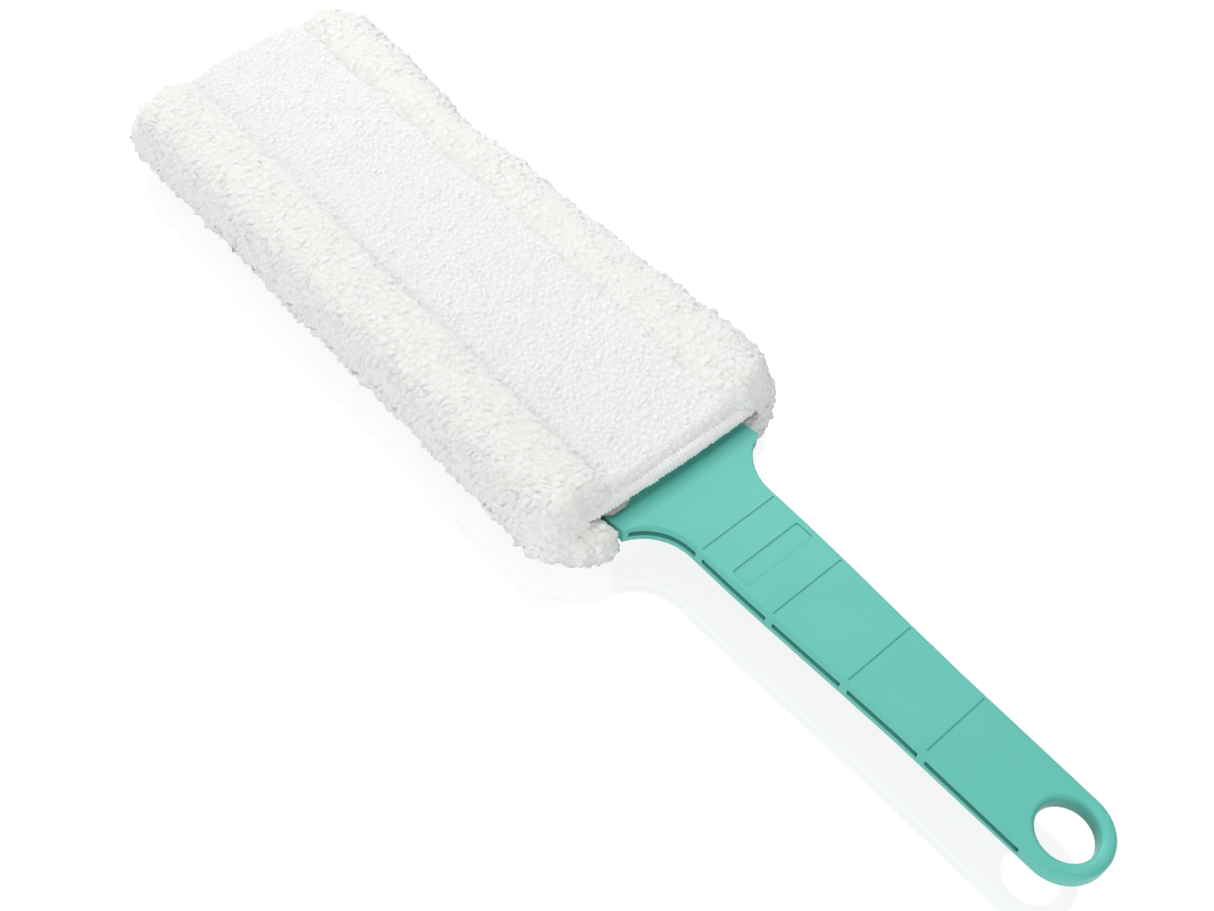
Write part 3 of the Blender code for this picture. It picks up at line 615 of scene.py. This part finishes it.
def roll_section(step, crease):
    """Over a roll, from low in its crease to its lip under the sleeve's side."""
    start = math.acos(-(((ROLL_CENTRE_Y - CREASE_Y + CREASE_LAP) / ROLL_HALF_WIDTH) ** (ROLL_POWER / 2)))
    y, z = oval(np.linspace(start, 0.0, 400), ROLL_HIGH.z - ROLL_INSET - SEAM_Z)
    depth, reach = crease
    z = z - depth * (1 - np.clip((y - CREASE_Y + CREASE_LAP) / reach, 0.0, 1.0)) ** 2
    lip_end = math.asin((SIDE_LIP / (SEAM_Z - UNDER_LOW.z)) ** (ROLL_POWER / 2))
    lip = oval(np.linspace(0.0, lip_end, 10)[1:], UNDER_LOW.z - SEAM_Z)
    wall = [(y[0], z[0] - CREASE_WALL)]
    return spread(wall + list(zip(y, z)) + list(zip(*lip)), step)


def upper_foot(y, top):
    """The upper layer's lowest front edge: on the hem, and on the lower pile past the hem's ends."""
    foot = MOUTH_FOOT + (LOW_FOOT - MOUTH_FOOT) * between(y, FOOT_START_Y, FOOT_END_Y)
    left = between(y, LEFT_DROP_START_Y, LEFT_DROP_END_Y)
    foot = foot - np.where(y < 0, LEFT_FOOT_DROP, 0.0) * left
    return np.minimum(foot, top - CLOTH_GAP)


def make_roll(name, node, side):
    section = roll_section(LONG_PILE_GRID, LEFT_CREASE if side < 0 else RIGHT_CREASE) * np.array([side, 1])
    rows = row_plan(LONG_PILE_GRID, math.pi / 2, quarter_length(UPPER_CURLS[1][2], ROLL_HIGH.z - LOW_FOOT))
    outer, _ = lengthwise(section, rows, roll_front, roll_tip, upper_foot, UPPER_CURLS, UPPER_WIDEST_SHARE)
    over = POCKET_HIGH.z + CLOTH_GAP
    pocket_side = side * (POCKET_HIGH.y + CLOTH_GAP)
    last_y, last_z = section[-1]
    lip_y = last_y - side * LIP_THICKNESS
    back = np.array([
        (lip_y, last_z),
        (lip_y, LOW_FOOT),
        (pocket_side, LOW_FOOT),
        (pocket_side, over),
        (section[0, 0], over),
    ])
    start = roll_front(back[None, :, 0]) - CAP_SETBACK
    inner = inside(back, rows, start, roll_tip, filled_tip)
    side_share = between(section[None, :, 0], SIDE_GROWTH_START, SIDE_Y)
    growth = growth_of(rows) * crease_growth(section, 1) * (1 + (SIDE_GROWTH - 1) * side_share)
    swelled = side_swell(outer)
    moved, depth, shading = pile(swelled, -side, ROLL_PILE, LONG_PILE_GRID, growth, nose_share(rows))
    piece = closed_piece(name, moved, side_swell(inner), depth, shading)
    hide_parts(node)
    return piece


def make_panel():
    reach = CREASE_Y + CREASE_LAP
    breadths = np.linspace(-reach, reach, 100)
    z = SEAM_Z + PANEL_EDGE_RISE - PANEL_HOLLOW * (1 - (breadths / CREASE_Y) ** 2)
    z = z - LEFT_EDGE_DROP * (1 - np.clip((breadths + reach) / LEFT_EDGE_REACH, 0, 1)) ** 2
    line = [(-reach, z[0] - CREASE_WALL)] + list(zip(breadths, z)) + [(reach, z[-1] - CREASE_WALL)]
    section = spread(line, SHORT_PILE_GRID)
    nose_length = PANEL_NOSE_ROWS * quarter_length(UPPER_CURLS[1][1], z[-1] - MOUTH_FOOT)
    rows = row_plan(SHORT_PILE_GRID, math.pi / 2, nose_length)
    ends = (panel_front, panel_tip, upper_foot, UPPER_CURLS, UPPER_WIDEST_SHARE)
    outer, start = lengthwise(section, rows, *ends)
    over = POCKET_HIGH.z + CLOTH_GAP
    back = np.array([(reach, over), (-reach, over)])
    behind_hem = UPPER_HEM_LOW.x

    def level(x, z):
        return np.where(x > behind_hem, MOUTH_FOOT - CLOTH_GAP, filled_tip(x, z))

    inner = inside(back, rows, start.min() + 0 * back[None, :, 0], panel_tip, level)
    growth = growth_of(rows) * crease_growth(section, 2)
    moved, depth, shading = pile(outer, -1, PANEL_PILE, SHORT_PILE_GRID, growth, nose_share(rows))
    piece = closed_piece("panel_pile", moved, inner, depth, shading)
    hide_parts("top_panel")
    return piece


def under_foot(y, top):
    """The lower pile's top edge: below the lower hem in the middle, and up beside the blade at the left."""
    wall = smooth_step((np.abs(y) - UNDER_WALL_Y) / UNDER_WALL_WIDTH)
    level = SEAM_Z - LAYER_GAP
    heap = np.where(y < 0, UNDER_HEAP, 0.0) * (1 - between(y, HEAP_END_START_Y, HEAP_END_Y))
    return UNDER_FOOT + (level + heap - UNDER_FOOT) * wall


def make_under():
    begin = math.asin((LAYER_GAP / (SEAM_Z - UNDER_LOW.z)) ** (ROLL_POWER / 2))
    y, z = oval(np.linspace(begin, math.pi / 2, 200), UNDER_LOW.z - SEAM_Z)
    side = spread(list(zip(y - SIDE_INSET, z)), UNDER_PILE_GRID)
    low = side[-1, 1]
    near = spread([(side[-1, 0], low), (UNDER_FLAT_Y, low)], UNDER_NEAR_SHARE * UNDER_PILE_GRID)
    flat = spread([(UNDER_FLAT_Y, low), (-UNDER_FLAT_Y, low)], FLOOR_PILE_GRID)
    half = np.concatenate([side, near[1:]])
    section = np.concatenate([half, flat[1:-1], half[::-1] * np.array([-1, 1])])
    rows = row_plan(UNDER_ROW_SHARE * UNDER_PILE_GRID, 0.0, UNDER_NOSE_LENGTH, lead=UNDER_LEAD_LENGTH)
    ends = (under_front, under_tip, under_foot, UNDER_CURLS, UNDER_WIDEST_SHARE, UNDER_LEAD_X)
    outer, _ = lengthwise(section, rows, *ends)
    back = np.array([(-POCKET_HIGH.y, SEAM_Z - LAYER_GAP), (POCKET_HIGH.y, SEAM_Z - LAYER_GAP)])
    inner = inside(back, rows, UNDER_LEAD_X + 0 * back[None, :, 0], under_tip, lambda x, z: z)
    growth = growth_of(rows)
    swelled = side_swell(outer)
    moved, depth, shading = pile(swelled, -1, UNDER_PILE, UNDER_PILE_GRID, growth, nose_share(rows))
    moved[:, :, 2] = np.maximum(moved[:, :, 2], LEAST_Z)
    beside = np.abs(outer[:, :, 1]) > UNDER_WALL_Y
    clear = np.sign(outer[:, :, 1]) * np.maximum(np.abs(moved[:, :, 1]), UNDER_WALL_Y)
    moved[:, :, 1] = np.where(beside, clear, moved[:, :, 1])
    piece = closed_piece("under_pile", moved, inner, depth, shading)
    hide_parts("bottom_pile_panel")
    return piece


def stitched_cord(name, path, across, half_width, half_height, stitch, sides, salt):
    """A closed cord along a path of points, oval across, whose stitches stand out of it as ribs.

    The purl is the row of knots along its lower edge.
    """
    pitch, rib, slant, purl = stitch
    travelled = np.concatenate([[0.0], np.cumsum(np.linalg.norm(np.diff(path, axis=0), axis=1))])
    angles = np.linspace(0, math.tau, sides, endpoint=False)
    smooth_path = path[:, None, :] + across[:, None, :] * (half_width * np.cos(angles))[None, :, None]
    wander = smooth_noise(smooth_path.reshape(-1, 3), RIB_WANDER_SCALE * pitch, salt + 2)
    wander = wander.reshape(len(path), sides)
    phase = travelled[:, None] / pitch + slant * np.cos(angles)[None] + RIB_WANDER * wander
    hump = np.abs(np.sin(math.pi * phase)) ** RIB_POWER
    cells = np.stack([np.floor(phase).ravel(), np.zeros(phase.size), np.zeros(phase.size)], axis=1)
    uneven = RIB_LEAST + RIB_SPREAD * cell_random(cells.astype(np.int64), salt).reshape(phase.shape)
    knots = np.exp(-(((angles - PURL_ANGLE) / PURL_WIDTH) ** 2))[None]
    knots_past_start = np.exp(-(((angles - PURL_ANGLE + math.tau) / PURL_WIDTH) ** 2))[None]
    groove = np.exp(-(((angles - PURL_ANGLE - GROOVE_ANGLE) / GROOVE_WIDTH) ** 2))[None]
    edge = (knots + knots_past_start) * (PURL_LEAST + hump * uneven) - GROOVE_DEPTH * groove
    grow = rib * (hump * uneven - RIB_SINK) + purl * edge
    ends = np.minimum(travelled, travelled[-1] - travelled) / half_width
    taper = np.sqrt(1 - (1 - np.clip(ends, CORD_END, 1.0)) ** 2)[:, None]
    lie = np.stack([across[:, None, 0] * np.cos(angles), across[:, None, 1] * np.cos(angles)], axis=2)
    out = np.concatenate([lie, (np.sin(angles) + 0 * phase)[:, :, None]], axis=2)
    wide = (half_width + grow) * taper * np.cos(angles)[None]
    high = (half_height + grow) * taper * np.sin(angles)[None]
    grid = path[:, None, :] + across[:, None, :] * wide[:, :, None]
    grid[:, :, 2] += high
    flat = grid.reshape(-1, 3)
    fuzz = sum(share * rib * smooth_noise(flat, scale, salt + added) for share, scale, added in FUZZ)
    grid += fuzz.reshape(phase.shape)[:, :, None] * out
    half = sides // 2
    return closed_piece(name, grid[:, :half], grid[:, half:], hump[:, :half].astype(np.float32))


def make_hem(name, node, left, right, turned_in, salt):
    """An overlocked mouth edge from left to right; turned_in is how far its ends go back."""
    low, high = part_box(node)
    half_depth = (high.x - low.x - HEM_BOW_ROOM) / 2
    half_height = (high.z - low.z) / 2
    y = np.linspace(left, right, int((right - left) / HEM_STEP))
    share = y / HEM_HALF_LENGTH
    nearer_end = min(-left, right)
    x = high.x - half_depth - HEM_SETBACK - HEM_BOW * share**2 + HEM_TILT * share
    x = x - turned_in * between(y, nearer_end - HEM_TURN_REACH, nearer_end)
    drop = HEM_DROOP * between(y, nearer_end - HEM_DROOP_REACH, nearer_end)
    path = np.stack([x, y, (low.z + high.z) / 2 - drop], axis=1)
    along = np.gradient(path, axis=0)
    across = np.stack([along[:, 1], -along[:, 0], 0 * y], axis=1)
    across /= np.linalg.norm(across, axis=1, keepdims=True)
    size = (half_depth - HEM_RIB_ROOM[0], half_height - HEM_RIB_ROOM[1])
    piece = stitched_cord(name, path, across, *size, HEM_STITCH, HEM_SIDES, salt)
    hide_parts(node)
    return piece


def make_panel_seam(name, node, side):
    """The thread that sews the centre cloth to a roll, sunk in the crease."""
    low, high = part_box(node)
    radius = (high.y - low.y) / 2
    x = np.arange(high.x - 2 * radius, low.x + TIP_ROUND, -CREASE_STEP)
    z = high.z - radius + 0 * x
    path = np.stack([x, side * CREASE_Y + 0 * x, z], axis=1)
    across = np.stack([0 * x, 1 + 0 * x, 0 * x], axis=1)
    piece = stitched_cord(name, path, across, radius, radius, CREASE_STITCH, CREASE_SIDES, salt=900)
    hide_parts(node)
    return piece


def make_edge_seam():
    """The overlocked edges inside the sleeve: along one side, round the tip and back."""
    inset = EDGE_MARGIN + EDGE_WIDTH / 2
    side_y = SIDE_Y - inset
    corner_x = TIP_X + SEAM_TIP_ARCH + SEAM_TIP_CORNER
    angles = np.linspace(0, math.pi / 2, 30)
    straight_end = corner_x - (SEAM_TIP_CORNER - inset) * EDGE_TURN_GAP
    straight = np.linspace(SEAM_HIGH.x, straight_end, 40)[:-1]
    turn_x = corner_x - (SEAM_TIP_CORNER - inset) * np.sin(angles)
    turn_y = ROLL_CENTRE_Y + (ROLL_HALF_WIDTH - inset) * np.cos(angles)
    flat_y = np.linspace(ROLL_CENTRE_Y, 0, 30)[1:]
    half_x = np.concatenate([straight, turn_x, seam_tip(flat_y) + inset])
    half_y = np.concatenate([side_y + 0 * straight, turn_y, flat_y])
    line_x = np.concatenate([half_x, half_x[-2::-1]])
    line_y = np.concatenate([half_y, -half_y[-2::-1]])
    points = spread(list(zip(line_x, line_y)), EDGE_STEP)
    path = np.stack([points[:, 0], points[:, 1], SEAM_Z + 0 * points[:, 0]], axis=1)
    path = side_swell(path[:, None, :])[:, 0]
    along = np.gradient(path, axis=0)
    across = np.stack([-along[:, 1], along[:, 0], 0 * along[:, 0]], axis=1)
    across /= np.linalg.norm(across, axis=1, keepdims=True)
    size = (EDGE_WIDTH / 2, EDGE_HALF_THICKNESS)
    piece = stitched_cord("overlocked_edge", path, across, *size, EDGE_STITCH, EDGE_SIDES, salt=950)
    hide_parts("edge_seam")
    return piece


def make_lining():
    """The pocket: a flat tube of thin cloth, closed at the tip, whose mouth opens into the two hems."""
    half_width = POCKET_HIGH.y
    middle_z = (POCKET_LOW.z + POCKET_HIGH.z) / 2
    half_height = (POCKET_HIGH.z - POCKET_LOW.z) / 2
    places = np.linspace(POCKET_LOW.x, POCKET_HIGH.x, LINING_PLACES)
    angles = np.linspace(0, math.tau, LINING_SIDES, endpoint=False)
    rings = []
    for side, inset in ((1, 0.0), (-1, LINING_THICKNESS)):
        for x in places[::side]:
            reach = max(x, POCKET_LOW.x + inset)
            opened = smooth_step((x - POCKET_HIGH.x + POCKET_MOUTH) / POCKET_MOUTH)
            end = smooth_step((x - POCKET_LOW.x) / POCKET_TIP) * POCKET_TIP_GROWTH + POCKET_TIP_SHARE
            y = (half_width - inset) * np.sign(np.cos(angles)) * np.abs(np.cos(angles)) ** POCKET_SIDE_POWER
            up = np.sign(np.sin(angles)) * np.abs(np.sin(angles)) ** POCKET_FLAT_POWER
            lift = np.where(up > 0, POCKET_LIFT_UP, POCKET_LIFT_DOWN) * opened
            z = middle_z + up * ((half_height - inset) * end + lift)
            wrinkle = np.stack([0 * angles + x, y, 0 * angles + WRINKLE_PLACE], axis=1)
            z += WRINKLE * smooth_noise(wrinkle, WRINKLE_SCALE, 60) * np.abs(up)
            shown = smooth_step((x - POCKET_HIGH.x + STRIP_START) / STRIP_START) * (up > 0)
            ragged = RAGGED * smooth_noise(np.stack([0 * y, y, 0 * y], axis=1), RAGGED_SCALE, 61)
            strip = STRIP_WIDTH + STRIP_LEFT_WIDTH * smooth_step((STRIP_LEFT_Y - y) / STRIP_LEFT_REACH)
            strip = (strip + ragged) * shown * np.abs(up) ** STRIP_POWER
            rings.append(np.stack([reach + strip, y, z], axis=1))
    grid = np.array(rings)
    half = LINING_SIDES // 2
    piece = closed_piece("pocket_cloth", grid[:, :half], grid[:, half:], np.ones((len(grid), half)))
    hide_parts("pocket_lining")
    return piece


def node_material(name):
    made = bpy.data.materials.new(name)
    made.use_nodes = True
    return made, made.node_tree.nodes, made.node_tree.links, made.node_tree.nodes["Principled BSDF"]


def ranged(nodes, links, value, low, high, least=0.0):
    """From least to 1 as a value goes from low to high."""
    ramp = nodes.new("ShaderNodeMapRange")
    ramp.inputs["From Min"].default_value = low
    ramp.inputs["From Max"].default_value = high
    ramp.inputs["To Min"].default_value = least
    links.new(value, ramp.inputs["Value"])
    return ramp.outputs["Result"]


def calculated(nodes, links, operation, first, second):
    """What a Math node makes of two sockets."""
    node = nodes.new("ShaderNodeMath")
    node.operation = operation
    links.new(first, node.inputs[0])
    links.new(second, node.inputs[1])
    return node.outputs["Value"]


def mixed_colour(nodes, links, factor, low, high, colours):
    """A colour between two, as a factor goes from low to high."""
    mix = nodes.new("ShaderNodeMix")
    mix.data_type = "RGBA"
    mix.inputs["A"].default_value = (*colours[0], 1.0)
    mix.inputs["B"].default_value = (*colours[1], 1.0)
    links.new(ranged(nodes, links, factor, low, high), mix.inputs["Factor"])
    return mix.outputs["Result"]


def noise(nodes, links, scale, detail):
    texture = nodes.new("ShaderNodeTexNoise")
    texture.inputs["Scale"].default_value = scale
    texture.inputs["Detail"].default_value = detail
    place = nodes.new("ShaderNodeTexCoord")
    links.new(place.outputs["Object"], texture.inputs["Vector"])
    return texture.outputs["Fac"]


def add_bump(nodes, links, shader, height, strength, distance):
    bump = nodes.new("ShaderNodeBump")
    bump.inputs["Strength"].default_value = strength
    bump.inputs["Distance"].default_value = distance
    links.new(height, bump.inputs["Height"])
    links.new(bump.outputs["Normal"], shader.inputs["Normal"])


def pile_material(name, colours):
    """White fibres, matt, with painted shade between the tufts: darker and greener down between them than at
    their tips.
    """
    made, nodes, links, shader = node_material(name)
    depth = nodes.new("ShaderNodeAttribute")
    depth.attribute_name = "pile_depth"
    # Painted shade: the colour darkens from the tufts' tips to the roots between them, by how far each point
    # stands out
    colour = mixed_colour(nodes, links, depth.outputs["Fac"], 0.02, 0.45, colours)
    links.new(colour, shader.inputs["Base Color"])
    fibres = noise(nodes, links, scale=1500, detail=3)
    add_bump(nodes, links, shader, fibres, strength=0.35, distance=0.0003)
    shader.inputs["Roughness"].default_value = 1.0
    shader.inputs["Specular IOR Level"].default_value = 0.1
    shader.inputs["Sheen Weight"].default_value = 0.1
    shader.inputs["Sheen Roughness"].default_value = 0.5
    return made


def thread_material():
    made, nodes, links, shader = node_material("white_thread")
    fibres = noise(nodes, links, scale=2200, detail=3)
    colour = mixed_colour(nodes, links, fibres, 0.3, 0.6, THREAD_COLOURS)
    links.new(colour, shader.inputs["Base Color"])
    add_bump(nodes, links, shader, fibres, strength=0.5, distance=0.0002)
    shader.inputs["Roughness"].default_value = 1.0
    shader.inputs["Specular IOR Level"].default_value = 0.1
    return made


def lining_material():
    """Grey plain weave."""
    made, nodes, links, shader = node_material("grey_lining_weave")
    place = nodes.new("ShaderNodeTexCoord")
    heights = []
    for way in ("X", "Y"):
        wave = nodes.new("ShaderNodeTexWave")
        wave.bands_direction = way
        wave.inputs["Scale"].default_value = 520
        wave.inputs["Distortion"].default_value = 0.6
        links.new(place.outputs["Object"], wave.inputs["Vector"])
        heights.append(wave.outputs["Fac"])
    weave = calculated(nodes, links, "MULTIPLY", *heights)
    links.new(mixed_colour(nodes, links, weave, 0.0, 1.0, LINING_COLOURS), shader.inputs["Base Color"])
    add_bump(nodes, links, shader, weave, strength=0.6, distance=0.0003)
    shader.inputs["Roughness"].default_value = 0.95
    shader.inputs["Specular IOR Level"].default_value = 0.15
    return made


def plastic_material():
    """Satin mint plastic with the fine grain of its mould, and painted shade down in its slots and hole,
    where its own ambient occlusion darkens its colour.
    """
    made, nodes, links, shader = node_material("mint_plastic")
    cloudy = noise(nodes, links, scale=40, detail=2)
    colour = mixed_colour(nodes, links, cloudy, 0.3, 0.7, PLASTIC_COLOURS)
    # Painted shade in the handle's slots, recesses and hole, from its own ambient occlusion; faces that point
    # up are left out
    recess = nodes.new("ShaderNodeAmbientOcclusion")
    recess.only_local = True
    recess.samples = 8
    recess.inputs["Distance"].default_value = RECESS_SHADE_REACH
    openness = ranged(nodes, links, recess.outputs["AO"], 0.5, 0.95, least=0.2)
    surface = nodes.new("ShaderNodeNewGeometry")
    parts = nodes.new("ShaderNodeSeparateXYZ")
    links.new(surface.outputs["Normal"], parts.inputs["Vector"])
    facing_up = ranged(nodes, links, parts.outputs["Z"], 0.75, 0.95)
    painted_shade_mix = nodes.new("ShaderNodeMix")
    painted_shade_mix.data_type = "RGBA"
    painted_shade_mix.inputs["A"].default_value = (*PAINTED_RECESS_SHADE_COLOUR, 1.0)
    links.new(colour, painted_shade_mix.inputs["B"])
    links.new(calculated(nodes, links, "MAXIMUM", openness, facing_up), painted_shade_mix.inputs["Factor"])
    links.new(painted_shade_mix.outputs["Result"], shader.inputs["Base Color"])
    grain = noise(nodes, links, scale=3500, detail=2)
    add_bump(nodes, links, shader, grain, strength=0.06, distance=0.0001)
    shader.inputs["Roughness"].default_value = 0.38
    shader.inputs["Specular IOR Level"].default_value = 0.3
    return made


def wear(piece, made):
    piece.data.materials.clear()
    piece.data.materials.append(made)


def dress_handle(made):
    """The solid's own mesh, with its flat faces kept flat and its curved ones shaded smooth."""
    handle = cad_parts["handle"]
    wear(handle, made)
    weld = handle.modifiers.new("weld", "WELD")
    weld.merge_threshold = 0.000005
    split = handle.modifiers.new("split", "EDGE_SPLIT")
    split.split_angle = math.radians(40)
    split.use_edge_sharp = False
    handle.modifiers.new("even_normals", "WEIGHTED_NORMAL")
    handle.data.shade_smooth()


def add_camera():
    lens = bpy.data.cameras.new("camera")
    lens.sensor_width = SENSOR_WIDTH
    lens.lens = FOCAL_PIXELS * SENSOR_WIDTH / IMAGE_WIDTH
    lens.clip_start = 0.01
    camera = bpy.data.objects.new("camera", lens)
    right, up = Vector(CAMERA_RIGHT).normalized(), Vector(CAMERA_UP).normalized()
    back = right.cross(up)
    turn = Matrix((right, up, back)).transposed()
    camera.matrix_world = Matrix.Translation(CAMERA_PLACE) @ turn.to_4x4()
    bpy.context.scene.collection.objects.link(camera)
    bpy.context.scene.camera = camera


def add_lamp(name, place, size, power, target=(0.0, 0.0, 0.0)):
    data = bpy.data.lights.new(name, "AREA")
    data.shape = "SQUARE"
    data.size = size
    data.energy = power
    lamp = bpy.data.objects.new(name, data)
    lamp.location = place
    lamp.rotation_euler = (Vector(target) - Vector(place)).to_track_quat("-Z", "Y").to_euler()
    bpy.context.scene.collection.objects.link(lamp)


def background_rays(nodes, links):
    """1 for the rays that see the background itself: the camera's, and those seen in gloss or glass."""
    rays = nodes.new("ShaderNodeLightPath")
    seen = rays.outputs["Is Camera Ray"]
    for kind in ("Is Glossy Ray", "Is Transmission Ray"):
        seen = calculated(nodes, links, "MAXIMUM", seen, rays.outputs[kind])
    return seen


def add_floor():
    """A pale glossy floor, with a faint mirror image and a faint shadow of the object."""
    size = FLOOR_HALF_SIZE
    mesh = bpy.data.meshes.new("floor")
    corners = [(-size, -size, 0), (size, -size, 0), (size, size, 0), (-size, size, 0)]
    mesh.from_pydata(corners, [], [(0, 1, 2, 3)])
    floor = bpy.data.objects.new("floor", mesh)
    bpy.context.scene.collection.objects.link(floor)
    made, nodes, links, shader = node_material("pale_floor")
    shader.inputs["Base Color"].default_value = (*FLOOR_COLOUR, 1.0)
    shader.inputs["Roughness"].default_value = 0.8
    shader.inputs["Specular IOR Level"].default_value = 0.0
    share = nodes.new("ShaderNodeMath")
    share.operation = "MULTIPLY"
    share.inputs[1].default_value = FLOOR_WHITE_SHARE
    links.new(background_rays(nodes, links), share.inputs[0])
    white = nodes.new("ShaderNodeEmission")
    white.inputs["Strength"].default_value = FLOOR_WHITE
    lit = nodes.new("ShaderNodeMixShader")
    links.new(share.outputs["Value"], lit.inputs["Fac"])
    links.new(shader.outputs["BSDF"], lit.inputs[1])
    links.new(white.outputs["Emission"], lit.inputs[2])
    mirror = nodes.new("ShaderNodeBsdfGlossy")
    mirror.inputs["Roughness"].default_value = 0.03
    both = nodes.new("ShaderNodeMixShader")
    both.inputs["Fac"].default_value = FLOOR_MIRROR
    links.new(lit.outputs["Shader"], both.inputs[1])
    links.new(mirror.outputs["BSDF"], both.inputs[2])
    links.new(both.outputs["Shader"], nodes["Material Output"].inputs["Surface"])
    wear(floor, made)


def add_world():
    """Even light on the object, and a white background for the rays that see it."""
    world = bpy.data.worlds.new("studio")
    world.use_nodes = True
    nodes, links = world.node_tree.nodes, world.node_tree.links
    light = nodes["Background"]
    light.inputs["Color"].default_value = (1, 1, 1, 1)
    light.inputs["Strength"].default_value = WORLD_LIGHT
    white = nodes.new("ShaderNodeBackground")
    white.inputs["Color"].default_value = (1, 1, 1, 1)
    white.inputs["Strength"].default_value = 1.0
    mix = nodes.new("ShaderNodeMixShader")
    links.new(background_rays(nodes, links), mix.inputs["Fac"])
    links.new(light.outputs["Background"], mix.inputs[1])
    links.new(white.outputs["Background"], mix.inputs[2])
    links.new(mix.outputs["Shader"], nodes["World Output"].inputs["Surface"])
    bpy.context.scene.world = world


long_pile = pile_material("long_pile_microfibre", LONG_PILE_PAINTED_SHADE_COLOURS)
short_pile = pile_material("short_pile_microfibre", SHORT_PILE_PAINTED_SHADE_COLOURS)
thread = thread_material()
dress_handle(plastic_material())
for piece, cloth in (
    (make_roll("left_roll_pile", "left_pile_strip", -1), long_pile),
    (make_roll("right_roll_pile", "right_pile_strip", 1), long_pile),
    (make_panel(), short_pile),
    (make_under(), long_pile),
    (make_hem("upper_hem_stitches", "upper_mouth_hem", *UPPER_HEM_ENDS, turned_in=0.001, salt=800), thread),
    (make_hem("lower_hem_stitches", "lower_mouth_hem", *LOWER_HEM_ENDS, turned_in=0.003, salt=820), thread),
    (make_panel_seam("left_seam_thread", "left_panel_seam", -1), thread),
    (make_panel_seam("right_seam_thread", "right_panel_seam", 1), thread),
    (make_edge_seam(), thread),
    (make_lining(), lining_material()),
):
    wear(piece, cloth)
    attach(piece, "sleeve")

add_camera()
add_world()
add_floor()
add_lamp("key", place=(-2.6, 0.2, 1.7), size=1.2, power=20.0)
add_lamp("low", place=(-2.7, 0.8, 0.9), size=0.8, power=30.0)
add_lamp("fill", place=(-0.9, -2.5, 0.8), size=1.5, power=18.0, target=(-0.2, 0.0, 0.0))
add_lamp("front", place=(2.2, -1.4, 0.8), size=1.2, power=19.0)
add_lamp("top", place=(-0.34, 0.60, 0.90), size=0.6, power=3.0)
bpy.context.scene.view_settings.view_transform = "Standard"
